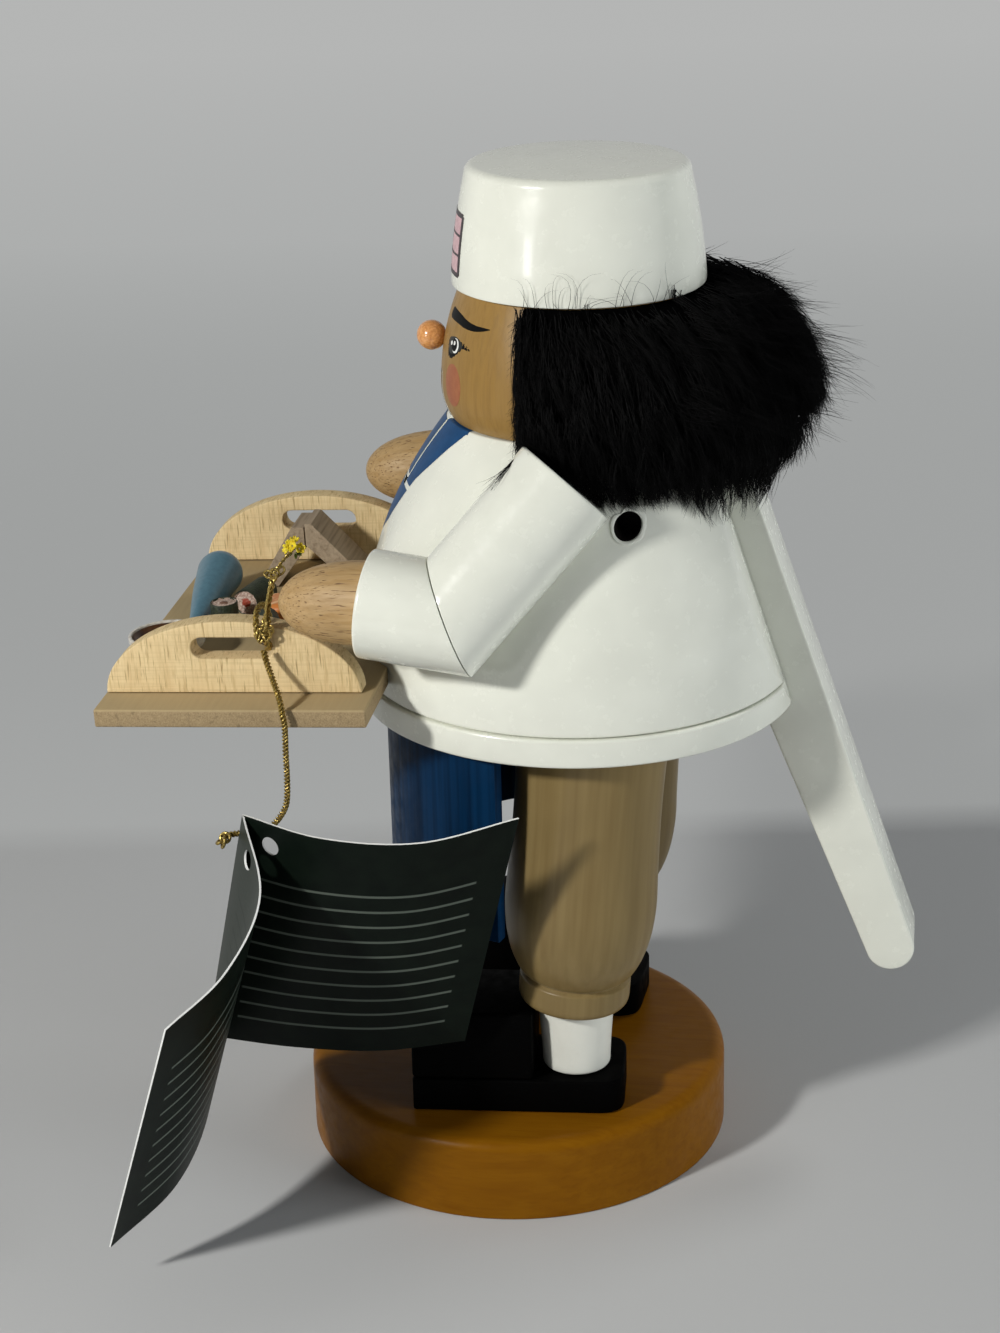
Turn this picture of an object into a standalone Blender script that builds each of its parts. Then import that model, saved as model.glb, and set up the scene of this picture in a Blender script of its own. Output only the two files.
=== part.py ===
"""Wooden nutcracker figure: a turned cook with a tray, whose jaw is the front end of a long back lever.

Metres, +Z up. The origin is the centre of the base's underside, the figure faces -Y and its left is +X.
"""

import bpy
import bmesh
from math import cos, pi, radians, sin, sqrt, tan
from mathutils import Matrix, Vector

# Clearances
SEAT = 0.0003            # between glued or resting pieces
PEG_GAP = 0.0001         # round a dowel, all the way
LEVER_GAP = 0.0004       # beside and under the lever in its slot

# Facets round a full turn
LARGE, HAIR_STEPS, MIDDLE, SMALL = 48, 36, 28, 16

# Base and shoes
BASE_R = 0.0600
BASE_H = 0.0237
BASE_EDGE = 0.0040
SHOE_X, SHOE_Y = 0.0292, 0.0053
SHOE_TURN = radians(3.9)
SOLE_LENGTH, SOLE_WIDTH, SOLE_H = 0.0585, 0.0270, 0.0100
SOLE_CORNER = 0.0070
TOE_LENGTH, TOE_H = 0.0335, 0.0207
TOE_EDGE = 0.0010

# Legs
LEG_X = 0.0290
SOCK_Y = 0.0210
SOCK_TOP_R, SOCK_FOOT_R = 0.0109, 0.0094
LEG_LEAN = radians(4.5)
LEG_FOOT_Y = 0.0204
CUFF_R, CUFF_H, CUFF_ROUND = 0.0153, 0.0088, 0.0025
CALF_R, THIGH_R, KNEE_R = 0.0207, 0.0204, 0.0199
CALF_SWELL = ((0.0161, 0.0016), (0.0184, 0.0065), (0.0200, 0.0130))   # radius, height above the cuff
CALF_RISE = 0.0215        # height of the fullest place above the cuff

# Body: its axis stands behind the middle of the base
BODY_Y = 0.0193
HEM_R, HEM_H, HEM_BOTTOM = 0.0597, 0.0077, 0.1356
HEM_EDGE = 0.0006
TUNIC_FOOT_R, TUNIC_NECK_R, TUNIC_H = 0.0588, 0.0338, 0.0700
TUNIC_FULLNESS = 2.2
BACK_LEAN = radians(18.0)
BACK_DEPTH = 0.0567      # from the body's axis to the planed back, at the hem's top
APRON_R, APRON_WALL, APRON_H = 0.0532, 0.0040, 0.0550
APRON_SPAN = radians(145)

# Head, cap, nose and hair
HEAD_Y = 0.0207
HEAD_H = 0.0346
HEAD_R, HEAD_CHIN_R, HEAD_CROWN_R = 0.0366, 0.0342, 0.0310
HEAD_WIDEST = 0.0088     # height of the widest place above the chin
CAP_H, CAP_FOOT_R, CAP_RIM_R = 0.0310, 0.0332, 0.0293
CAP_SHOULDER, CAP_DOME = 0.0025, 0.0010
NOSE_R, NOSE_PEG_R, NOSE_PEG = 0.0040, 0.0015, 0.0060
NOSE_Z = 0.0197          # above the chin
HAIR_BACK = 0.0140       # how far the hair's own axis lies behind the head's
HAIR_FRONT = 0.0095      # where the hair begins, as a Y place
HAIR_OVER = 0.0006       # from the head, cap and body to the hair
HAIR_PROFILE = (         # height above the chin, radius about the hair's axis
    (0.0368, 0.0250), (0.0330, 0.0350), (0.0225, 0.0440), (0.0115, 0.0490), (0.0, 0.0470), (-0.0090, 0.0430),
    (-0.0135, 0.0370),
)

# Jaw lever
PIVOT_Y, PIVOT_Z = 0.0376, 0.1954
PIN_R, PIN_LENGTH = 0.0033, 0.0740
PIN_GAP = 0.0001
LEVER_WIDTH = 0.0200
JAW_OPEN = radians(22.0)
JAW_TOP_Z, JAW_FOOT_Z = 0.2260, 0.1970
JAW_FRONT_Y, JAW_DEPTH = -0.0158, 0.0200
BLANK_FRONT_Y = -0.0400   # front of the lever's plank before it is shaped to head and body
HUB_R = 0.0092
HANDLE_LEAN = radians(18.6)
HANDLE_TOP = Vector((0.0683, 0.1976))   # Y and Z of the top of the back edge
HANDLE_LENGTH = 0.1460
HANDLE_TOP_WIDTH, HANDLE_END_WIDTH = 0.0215, 0.0132
HANDLE_SHOULDER = 0.0120  # from the handle's top down to where its full width begins
NECK_LEAD = 0.0100        # how far before the pivot the lever's top edge reaches the hub
BACK_CORNER = (           # Y from the handle's top, Z from the hub's top
    (-0.0105, 0.0), (-0.0050, -0.0012), (-0.0015, -0.0038),
)

# Arms and hands, for the left side
SHOULDER = Vector((0.0460, 0.0226, 0.2080))
ELBOW = Vector((0.0600, -0.0054, 0.1763))
WRIST = Vector((0.0585, -0.0270, 0.1788))
FINGERS = Vector((0.0560, -0.0500, 0.1775))
ARM_R, ARM_EDGE = 0.0140, 0.0008
HAND_R, TENON_R, TENON = 0.0108, 0.0050, 0.0095
HAND_SEAT = 0.0028       # how deep the hand's back sits in the cuff

# Tray, in its own frame: back edge at Y 0, board's top at Z 0
TRAY_Y, TRAY_Z = -0.0267, 0.1530
TRAY_TILT = radians(2.1)
BOARD_HALF, BOARD_DEPTH, BOARD_H = 0.0670, 0.0715, 0.0049
HANDLE_X, HANDLE_WALL = 0.0559, 0.0064
ARCH_HALF, ARCH_H, ARCH_Y = 0.0339, 0.0199, -0.0370
SLOT_HALF, SLOT_R, SLOT_Y, SLOT_Z = 0.0110, 0.0029, -0.0362, 0.0126
DISH_PLACE, DISH_R, DISH_H = (0.0300, -0.0612, 0.0), 0.0104, 0.0073
DISH_WALL, DISH_RECESS, DISH_FOOT_R = 0.0010, 0.0024, 0.0072
FISH_X, FISH_Y = -0.0190, -0.0590
FISH_R, FISH_TAIL_R, FISH_LENGTH = 0.0065, 0.0016, 0.0330
ROLL_R, ROLL_EDGE = 0.0038, 0.0004
ROLLS = (                 # name, place on the board, axis, length
    ("roll_near", (-0.0075, -0.0460), (1.0, -0.25, 0.0), 0.0120),
    ("roll_standing", (0.0085, -0.0508), (0.0, 0.0, 1.0), 0.0080),
    ("roll_back", (0.0170, -0.0368), (1.0, 0.35, 0.0), 0.0110),
)
SALMON_SIZE, SALMON_PLACE, SALMON_EDGE = (0.0120, 0.0068, 0.0062), (0.0014, -0.0372), 0.0018
SLAT_WIDTH, SLAT_X = 0.0140, -0.0330
STEEP_SLAT = ((-0.0352, 0.0180), (-0.0388, 0.0180), (-0.0500, SEAT), (-0.0440, SEAT), (-0.0352, 0.0115))
LEANING_SLAT = ((-0.0349, 0.0190), (-0.0349, 0.0125), (-0.0225, SEAT), (-0.0160, SEAT), (-0.0330, 0.0190))

# Dowels
DOWEL_R = 0.0030
NECK_DOWEL_X, DOWEL_DEPTH = 0.0220, 0.0100
SHOULDER_DOWEL_IN, SHOULDER_DOWEL_OUT, SHOULDER_DOWEL_DROP = 0.0345, 0.0525, 0.0130

# Cord and card: points read in order along each run
CORD_R = 0.0009
BAR_ROUTE = (
    (0.0524, -0.0522, 0.1832), (0.0541, -0.0527, 0.1795), (0.0567, -0.0531, 0.1755), (0.0576, -0.0534, 0.1710),
    (0.0574, -0.0537, 0.1670), (0.0552, -0.0539, 0.1645), (0.0525, -0.0541, 0.1642), (0.0498, -0.0543, 0.1648),
    (0.0479, -0.0547, 0.1676), (0.0478, -0.0553, 0.1715), (0.0493, -0.0559, 0.1740), (0.0525, -0.0563, 0.1746),
    (0.0560, -0.0563, 0.1737), (0.0578, -0.0560, 0.1708), (0.0584, -0.0552, 0.1675),
)
TAG_ROUTE = (
    (0.0588, -0.0542, 0.1652), (0.0605, -0.0530, 0.1622), (0.0640, -0.0505, 0.1580), (0.0674, -0.0485, 0.1549),
    (0.0692, -0.0476, 0.1515), (0.0693, -0.0472, 0.1480), (0.0690, -0.0474, 0.1410), (0.0688, -0.0475, 0.1330),
    (0.0688, -0.0482, 0.1265), (0.0684, -0.0512, 0.1215), (0.0668, -0.0552, 0.1180), (0.0643, -0.0594, 0.1160),
    (0.0624, -0.0628, 0.1150), (0.0628, -0.0656, 0.1144), (0.0650, -0.0664, 0.1140),
)
FLOWER_ROUTE = (
    (0.0522, -0.0521, 0.1836), (0.0500, -0.0502, 0.1862), (0.0478, -0.0488, 0.1876), (0.0462, -0.0480, 0.1884),
)
CARD_WALL = 0.0005
CARD_START = 0.22        # share of the first column left open at the crease, so that the card can close
FOLD_TOP, FOLD_FOOT = (0.0665, -0.0603, 0.1223), (0.0486, -0.0792, 0.0463)
BACK_PANEL_TOP = (FOLD_TOP, (0.0762, -0.0375, 0.1212), (0.0767, -0.0120, 0.1213), (0.0674, 0.0121, 0.1251))
BACK_PANEL_FOOT = (FOLD_FOOT, (0.0508, -0.0542, 0.0455), (0.0510, -0.0300, 0.0460), (0.0489, -0.0070, 0.0493))
FRONT_PANEL_TOP = (FOLD_TOP, (0.0853, -0.0521, 0.1085), (0.1057, -0.0566, 0.0973), (0.1246, -0.0674, 0.0909))
FRONT_PANEL_FOOT = (FOLD_FOOT, (0.0653, -0.0756, 0.0329), (0.0856, -0.0800, 0.0216), (0.1034, -0.0938, 0.0126))
CARD_HOLE_R = 0.0026
BACK_HOLE, FRONT_HOLE = (0.0697, -0.0530, 0.1150), (0.0724, -0.0588, 0.1120)

# Heights and places worked out from the sizes above
SOLE_TOP = BASE_H + SOLE_H
TOE_BACK_Y = SHOE_Y - SOLE_LENGTH / 2 + TOE_LENGTH
LEG_FOOT = SOLE_TOP + TOE_H + SEAT - (LEG_FOOT_Y - TOE_BACK_Y) * tan(LEG_LEAN)
HEM_TOP = HEM_BOTTOM + HEM_H
TUNIC_FOOT = HEM_TOP + SEAT
CHIN = TUNIC_FOOT + TUNIC_H
CROWN = CHIN + HEAD_H
CAP_FOOT = CROWN + SEAT
LEVER_GROWN = LEVER_WIDTH + 2 * LEVER_GAP
X, Y, Z = Vector((1, 0, 0)), Vector((0, 1, 0)), Vector((0, 0, 1))

for old in list(bpy.data.objects):
    bpy.data.objects.remove(old, do_unlink=True)
PARTS = bpy.data.collections.new("nutcracker_figure")
CUTTERS = bpy.data.collections.new("cutters")
for group in (PARTS, CUTTERS):
    bpy.context.scene.collection.children.link(group)


def material(name, colour, roughness, metallic=0.0):
    """A plain Principled material."""
    made = bpy.data.materials.new(name)
    made.use_nodes = True
    made.diffuse_color = (*colour, 1.0)
    shader = made.node_tree.nodes["Principled BSDF"]
    shader.inputs["Base Color"].default_value = (*colour, 1.0)
    shader.inputs["Roughness"].default_value = roughness
    shader.inputs["Metallic"].default_value = metallic
    return made


def add(name, mesh, finish, smooth=True):
    """A named part with its own copy of a finish, or a hidden cutter where the finish is None."""
    made = bpy.data.objects.new(name, mesh)
    if finish is None:
        made.hide_render = True
        made.display_type = "WIRE"
        CUTTERS.objects.link(made)
        return made
    PARTS.objects.link(made)
    made.data.materials.clear()
    made.data.materials.append(material(name, *finish))
    if smooth and made.type == "MESH":
        made.data.shade_smooth()
        made.data.set_sharp_from_angle(angle=radians(35))
    return made


def boolean(target, cutter):
    """One object cut by another, left as a modifier."""
    modifier = target.modifiers.new(cutter.name, "BOOLEAN")
    modifier.object = cutter
    modifier.operation = "DIFFERENCE"
    modifier.solver = "EXACT"
    return target


def turned(name, profile, finish, place=(0, 0, 0), steps=LARGE, along=None):
    """A solid turned about Z or another direction, from radius and height pairs that run top to bottom."""
    mesh = bpy.data.meshes.new(name)
    edges = [(i, i + 1) for i in range(len(profile) - 1)]
    mesh.from_pydata([(r, 0, z) for r, z in profile], edges, [])
    made = add(name, mesh, finish, smooth=False)
    made.location = place
    if along is not None:
        made.rotation_euler = Vector(along).to_track_quat("Z", "Y").to_euler()
    screw = made.modifiers.new("turn", "SCREW")
    screw.axis = "Z"
    screw.angle = 2 * pi
    screw.steps = screw.render_steps = steps
    screw.use_merge_vertices = True
    screw.merge_threshold = 0.00001
    screw.use_smooth_shade = True
    return made


def rod(name, radius, start, end, finish, sides=SMALL):
    """A plain round rod between two points."""
    start, end = Vector(start), Vector(end)
    mesh = bpy.data.meshes.new(name)
    work = bmesh.new()
    bmesh.ops.create_cone(
        work, cap_ends=True, segments=sides, radius1=radius, radius2=radius, depth=(end - start).length
    )
    work.to_mesh(mesh)
    work.free()
    made = add(name, mesh, finish)
    made.location = (start + end) / 2
    made.rotation_euler = (end - start).to_track_quat("Z", "Y").to_euler()
    return made


def block(name, size, centre, finish):
    """A box of a given size."""
    mesh = bpy.data.meshes.new(name)
    work = bmesh.new()
    bmesh.ops.create_cube(work, size=1.0)
    bmesh.ops.scale(work, vec=size, verts=work.verts)
    work.to_mesh(mesh)
    work.free()
    made = add(name, mesh, finish, smooth=False)
    made.location = centre
    return made


def bevel(target, width, segments=2):
    """Rounded edges."""
    modifier = target.modifiers.new("edges", "BEVEL")
    modifier.width = width
    modifier.segments = segments
    modifier.limit_method = "ANGLE"
    modifier.angle_limit = radians(50)
    return target


def meshed(guide, finish, name):
    """A curve's evaluated shape as a mesh part, with its caps welded on."""
    bpy.context.view_layer.update()
    shape = bpy.data.meshes.new_from_object(guide.evaluated_get(bpy.context.evaluated_depsgraph_get()))
    work = bmesh.new()
    work.from_mesh(shape)
    bmesh.ops.remove_doubles(work, verts=work.verts, dist=0.00001)
    work.to_mesh(shape)
    work.free()
    made = add(name, shape, finish)
    made.matrix_world = guide.matrix_world.copy()
    bpy.data.objects.remove(guide, do_unlink=True)
    return made


def plate(name, outline, thickness, finish):
    """A flat outline in Y and Z, thickened along X about X 0."""
    curve = bpy.data.curves.new(name, "CURVE")
    curve.dimensions = "2D"
    curve.fill_mode = "BOTH"
    curve.extrude = thickness / 2
    spline = curve.splines.new("POLY")
    spline.points.add(len(outline) - 1)
    for point, (y, z) in zip(spline.points, outline):
        point.co = (y, z, 0, 1)
    spline.use_cyclic_u = True
    guide = bpy.data.objects.new(name + "_outline", curve)
    CUTTERS.objects.link(guide)
    guide.matrix_world = Matrix(((0, 0, 1, 0), (1, 0, 0, 0), (0, 1, 0, 0), (0, 0, 0, 1)))
    return meshed(guide, finish, name)


def half_space(name, point, normal):
    """A large cutter on the side of a plane that its normal points to."""
    normal = Vector(normal).normalized()
    reach = 0.12
    made = block(name, (reach, reach, reach), Vector(point) + normal * reach / 2, None)
    made.rotation_euler = normal.to_track_quat("Z", "Y").to_euler()
    return made


def smooth_line(points, per_span):
    """Points along a smooth curve through the given ones."""
    points = [Vector(p) for p in points]
    padded = [2 * points[0] - points[1], *points, 2 * points[-1] - points[-2]]
    line = []
    for i in range(len(points) - 1):
        p0, p1, p2, p3 = padded[i:i + 4]
        for k in range(per_span):
            t = k / per_span
            line.append(
                0.5 * (2 * p1 + (p2 - p0) * t + (2 * p0 - 5 * p1 + 4 * p2 - p3) * t**2
                       + (3 * p1 - p0 - 3 * p2 + p3) * t**3)
            )
    line.append(points[-1])
    return line


def tube(name, route, radius, finish, per_span=1, sides=2, swell=None):
    """A round cord through a smooth line of points."""
    line = smooth_line(route, per_span)
    curve = bpy.data.curves.new(name, "CURVE")
    curve.dimensions = "3D"
    curve.bevel_depth = radius
    curve.bevel_resolution = sides
    curve.use_fill_caps = True
    spline = curve.splines.new("POLY")
    spline.points.add(len(line) - 1)
    for i, (point, place) in enumerate(zip(spline.points, line)):
        point.co = (*place, 1)
        point.radius = 1.0 if swell is None else swell[min(i // per_span, len(swell) - 1)]
    return add(name, curve, finish)


def arc(centre, radius, start, end, count):
    """Points of an arc in a plane, angles in radians."""
    return [
        (centre[0] + radius * cos(start + (end - start) * k / count),
         centre[1] + radius * sin(start + (end - start) * k / count))
        for k in range(count + 1)
    ]


def mirrored(point, side):
    """A point of the left side, or its twin on the right."""
    return Vector((point[0] * side, point[1], point[2]))


def peg_hole(name, start, end, radius=DOWEL_R, sides=SMALL):
    """The bore of a dowel, longer than it by the seat at both ends."""
    start, end = Vector(start), Vector(end)
    reach = (end - start).normalized() * SEAT
    return rod("bore_" + name, radius + PEG_GAP, start - reach, end + reach, None, sides)


# Finishes: colour, roughness, metallic
OCHRE = ((0.60, 0.29, 0.05), 0.28)
BLACK = ((0.02, 0.02, 0.02), 0.55)
WHITE = ((0.80, 0.80, 0.76), 0.30)
BEIGE = ((0.50, 0.41, 0.26), 0.40)
NAVY = ((0.02, 0.08, 0.20), 0.40)
SKIN = ((0.62, 0.42, 0.23), 0.35)
BEECH = ((0.60, 0.41, 0.25), 0.50)
SPRUCE = ((0.64, 0.47, 0.27), 0.65)
NOSE = ((0.48, 0.19, 0.07), 0.25)
FUR = ((0.01, 0.01, 0.012), 0.60)
GOLD = ((0.45, 0.33, 0.10), 0.35, 0.8)
CARD = ((0.03, 0.05, 0.04), 0.45)
FISH_BLUE = ((0.10, 0.24, 0.36), 0.35)
SEAWEED = ((0.02, 0.05, 0.03), 0.50)
PEG_WOOD = ((0.66, 0.50, 0.32), 0.60)
STEEL = ((0.10, 0.10, 0.10), 0.45, 0.6)
YELLOW = ((0.70, 0.60, 0.05), 0.50)


def tunic_radius(z, grow=0.0):
    """The bell's radius at a height, full at the foot and drawn in to the neck."""
    t = min(max((z - TUNIC_FOOT) / TUNIC_H, 0.0), 1.0)
    return TUNIC_NECK_R + (TUNIC_FOOT_R - TUNIC_NECK_R) * (1 - t**TUNIC_FULLNESS) + grow


def tunic_profile(grow=0.0, over=0.0):
    """The bell's outline from the neck down, larger by grow and longer by over for a cutter."""
    heights = [CHIN - TUNIC_H * (k / 9) ** 1.3 for k in range(10)]
    sides = [(tunic_radius(z, grow), z) for z in heights]
    return [(0, CHIN + over), (sides[0][0], CHIN + over), *sides[1:-1], (sides[-1][0], TUNIC_FOOT - over),
            (0, TUNIC_FOOT - over)]


def head_radius(z):
    """The head's barrel outline at a height."""
    widest = CHIN + HEAD_WIDEST
    if z < widest:
        return HEAD_R - (HEAD_R - HEAD_CHIN_R) * ((widest - z) / HEAD_WIDEST) ** 2
    return HEAD_R - (HEAD_R - HEAD_CROWN_R) * ((z - widest) / (CROWN - widest)) ** 2


def head_profile(grow=0.0, over=0.0):
    """The head's outline from crown to chin."""
    upper = [CROWN - drop for drop in (0, 0.007, 0.014, 0.020)]
    heights = [*upper, CHIN + HEAD_WIDEST, CHIN + 0.004, CHIN + 0.0015, CHIN]
    sides = [(head_radius(z) + grow, z) for z in heights]
    top, foot = CROWN + over, CHIN - over
    return [(0, top), (sides[0][0], top), *sides[1:-1], (sides[-1][0], foot), (0, foot)]


def cap_profile(grow=0.0):
    """The cap's outline: a drum that narrows upward to a rounded shoulder and a shallow dome."""
    rise = CAP_H - CAP_SHOULDER
    shares = [k / 4 for k in range(4, -1, -1)]
    side = [(CAP_FOOT_R - (CAP_FOOT_R - CAP_RIM_R) * t**1.6 + grow, CAP_FOOT + rise * t) for t in shares]
    shoulder = arc((CAP_RIM_R - CAP_SHOULDER + grow, CAP_FOOT + rise), CAP_SHOULDER, pi / 2, 0, 3)
    dome = [(CAP_RIM_R * k / 2, CAP_FOOT + CAP_H + CAP_DOME * (1 - (k / 2) ** 2)) for k in range(2)]
    return [*dome, *shoulder[:-1], *side, (0, CAP_FOOT)]


def make_base():
    """The round stand."""
    edge = arc((BASE_R - BASE_EDGE, BASE_H - BASE_EDGE), BASE_EDGE, pi / 2, 0, 4)
    turned("base", [(0, BASE_H), *edge, (BASE_R, 0.0006), (BASE_R - 0.0006, 0), (0, 0)], OCHRE)


def make_foot(side, word):
    """A shoe of two blocks, a sock, and a leg with its cuff, with the dowel that runs through them."""
    shoe = Matrix.Translation((SHOE_X * side, SHOE_Y, 0)) @ Matrix.Rotation(SHOE_TURN * side, 4, "Z")
    sole = block(word + "_shoe_sole", (SOLE_WIDTH, SOLE_LENGTH, SOLE_H - SEAT), (0, 0, 0), BLACK)
    sole.matrix_world = shoe @ Matrix.Translation((0, 0, BASE_H + (SOLE_H + SEAT) / 2))
    for edge in sole.data.edges:
        start, end = (sole.data.vertices[v].co for v in edge.vertices)
        if abs(start.z + end.z) < 1e-6:
            edge_weight(sole.data, edge.index, 1.0 if start.y > 0 else 0.15)
    corner = sole.modifiers.new("corners", "BEVEL")
    corner.width = SOLE_CORNER
    corner.segments = 4
    corner.limit_method = "WEIGHT"
    bevel(sole, TOE_EDGE / 2, 1)

    toe = block(word + "_toe_block", (SOLE_WIDTH, TOE_LENGTH, TOE_H - SEAT), (0, 0, 0), BLACK)
    toe_y = (TOE_LENGTH - SOLE_LENGTH) / 2
    toe.matrix_world = shoe @ Matrix.Translation((0, toe_y, SOLE_TOP + (TOE_H + SEAT) / 2))
    bevel(toe, TOE_EDGE, 2)

    ankle = (LEG_X * side, SOCK_Y, 0)
    sock_top = LEG_FOOT + 0.002
    sock = turned(
        word + "_sock",
        [(0, sock_top), (SOCK_TOP_R, sock_top),
         ((SOCK_TOP_R + SOCK_FOOT_R) / 2 - 0.0002, (sock_top + SOLE_TOP) / 2),
         (SOCK_FOOT_R, SOLE_TOP + 0.0015), (SOCK_FOOT_R - 0.0006, SOLE_TOP + SEAT), (0, SOLE_TOP + SEAT)],
        WHITE, ankle, MIDDLE,
    )
    up = Vector((0, sin(LEG_LEAN), cos(LEG_LEAN)))
    foot = Vector((LEG_X * side, LEG_FOOT_Y, LEG_FOOT))
    boolean(sock, half_space("sock_top_" + word, foot - up * SEAT, up))

    rise = (HEM_BOTTOM - LEG_FOOT) / cos(LEG_LEAN)
    ring = arc((CUFF_R - CUFF_ROUND, CUFF_ROUND), CUFF_ROUND, 0, -pi / 2, 2)
    calf = [(CUFF_R - 0.0006, CUFF_H), *[(r, CUFF_H + z) for r, z in CALF_SWELL], (CALF_R, CUFF_H + CALF_RISE),
            ((CALF_R + KNEE_R) / 2, 0.50 * rise), (KNEE_R, 0.74 * rise), (THIGH_R, rise + 0.004)]
    cuff = [(CUFF_R - 0.0006, CUFF_H - 0.0006), (CUFF_R, CUFF_H - 0.0014)]
    leg = turned(word + "_leg", [(0, rise + 0.004), *reversed(calf), *cuff, *ring, (0, 0)], BEIGE, foot, MIDDLE)
    leg.rotation_euler = (-LEG_LEAN, 0, 0)
    boolean(leg, half_space("leg_top_" + word, (LEG_X * side, BODY_Y, HEM_BOTTOM - SEAT), Z))

    low, high = (ankle[0], ankle[1], BASE_H + SOLE_H / 2), (ankle[0], ankle[1], LEG_FOOT + DOWEL_DEPTH)
    rod(word + "_ankle_dowel", DOWEL_R, low, high, PEG_WOOD)
    bore = peg_hole(word + "_ankle", low, high)
    for piece in (sole, sock, leg):
        boolean(piece, bore)

    hip_y = LEG_FOOT_Y + (HEM_BOTTOM - LEG_FOOT) * tan(LEG_LEAN)
    low = (LEG_X * side, hip_y, HEM_BOTTOM - DOWEL_DEPTH)
    high = (LEG_X * side, hip_y, HEM_TOP + DOWEL_DEPTH)
    rod(word + "_hip_dowel", DOWEL_R, low, high, PEG_WOOD)
    hip_bore = peg_hole(word + "_hip", low, high)
    boolean(leg, hip_bore)
    return hip_bore


def edge_weight(mesh, index, value):
    """The bevel weight of one edge."""
    name = "bevel_weight_edge"
    layer = mesh.attributes.get(name) or mesh.attributes.new(name, "FLOAT", "EDGE")
    layer.data[index].value = value


def turn_about_pivot(point, angle):
    """A Y and Z place carried by the lever, whose handle rises and whose jaw drops as the angle grows."""
    y, z = point[0] - PIVOT_Y, point[1] - PIVOT_Z
    return (PIVOT_Y + y * cos(angle) - z * sin(angle), PIVOT_Z + y * sin(angle) + z * cos(angle))


def handle_points(grow):
    """The handle's front edge at its top and end, moved forward by grow, and its back edge at top and end."""
    down = Vector((sin(HANDLE_LEAN), -cos(HANDLE_LEAN)))
    front = Vector((-cos(HANDLE_LEAN), -sin(HANDLE_LEAN)))
    back_end = HANDLE_TOP + down * HANDLE_LENGTH
    front_top = HANDLE_TOP + down * HANDLE_SHOULDER + front * (HANDLE_TOP_WIDTH + grow)
    front_end = back_end + front * (HANDLE_END_WIDTH + grow)
    return front_top, front_end, back_end, down


def lever_outline():
    """The lever from the jaw over the hub and down the handle, in Y and Z."""
    front_top, front_end, back_end, down = handle_points(0.0)
    end_r = HANDLE_END_WIDTH / 2
    end_centre = (Vector(front_end) + back_end) / 2 - down * end_r
    tip = arc(end_centre, end_r, HANDLE_LEAN, HANDLE_LEAN - pi, 8)
    hub_top = PIVOT_Z + HUB_R
    corner = [(HANDLE_TOP.x + y, hub_top + z) for y, z in BACK_CORNER]
    crown = [(PIVOT_Y + 0.006, hub_top), *corner, tuple(HANDLE_TOP)]
    under = [(PIVOT_Y + 0.0075, PIVOT_Z - HUB_R * 0.72), (PIVOT_Y + 0.002, PIVOT_Z - HUB_R)]
    jaw = [(BLANK_FRONT_Y, JAW_FOOT_Z), (BLANK_FRONT_Y, JAW_TOP_Z), (JAW_FRONT_Y + JAW_DEPTH, JAW_TOP_Z)]
    heel = (JAW_FRONT_Y - 0.0022, JAW_FOOT_Z - LEVER_GAP)
    return [*jaw, (PIVOT_Y - NECK_LEAD, hub_top + 0.0010), *crown, *tip, tuple(front_top), *under, heel]


def slot_outline():
    """The body's slot: room for the lever at rest, for its jaw as it drops and for its hub as it turns."""
    front_top, front_end, _, _ = handle_points(LEVER_GAP)
    corner = (BODY_Y - tunic_radius(JAW_FOOT_Z) - LEVER_GAP, JAW_FOOT_Z - 2 * LEVER_GAP)
    last = JAW_OPEN + radians(1.0)
    sweep = [turn_about_pivot(corner, last * k / 8) for k in range(9)]
    heel = turn_about_pivot((PIVOT_Y + 0.002, PIVOT_Z - HUB_R - 3 * LEVER_GAP), last)
    hub = [heel, (PIVOT_Y + 0.006, PIVOT_Z - HUB_R - LEVER_GAP)]
    front, back, low, high = -0.06, 0.16, 0.05, 0.24
    handle = [tuple(front_top), tuple(front_end)]
    return [(front, high), (front, corner[1]), *sweep, *hub, *handle, (back, low), (back, high)]


def envelope_profile():
    """One outline round head and body, to which the jaw's front is shaped."""
    shift = HEAD_Y - BODY_Y
    lower = [(tunic_radius(CHIN - 0.002 * k) + shift, CHIN - 0.002 * k) for k in range(1, 13)]
    heights = (CROWN, CHIN + 0.020, CHIN + 0.014, CHIN + HEAD_WIDEST, CHIN + 0.004, CHIN + 0.0015)
    upper = [(head_radius(z), z) for z in heights]
    return [(0, CROWN), *upper, *lower, (0, CHIN - 0.024)]


def make_lever():
    """The jaw lever in one piece, its steel pin, and the cutters that make room for it."""
    lever = plate("jaw_lever", lever_outline(), LEVER_WIDTH, WHITE)
    waste = block("jaw_waste", (0.04, 0.06, 0.07), (0, -0.029, 0.205), None)
    envelope = turned("front_envelope", envelope_profile(), None, (0, HEAD_Y, 0))
    boolean(waste, envelope)
    boolean(lever, waste)
    bore = rod("bore_lever", PIN_R + PIN_GAP, (-0.02, PIVOT_Y, PIVOT_Z), (0.02, PIVOT_Y, PIVOT_Z), None)
    boolean(lever, bore)
    rod("pivot_pin", PIN_R, (-PIN_LENGTH / 2, PIVOT_Y, PIVOT_Z), (PIN_LENGTH / 2, PIVOT_Y, PIVOT_Z), STEEL)
    slot = plate("lever_slot", slot_outline(), LEVER_GROWN, None)
    pin_bore = rod("bore_pin", PIN_R + PIN_GAP, (-0.06, PIVOT_Y, PIVOT_Z), (0.06, PIVOT_Y, PIVOT_Z), None)
    return slot, pin_bore


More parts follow.
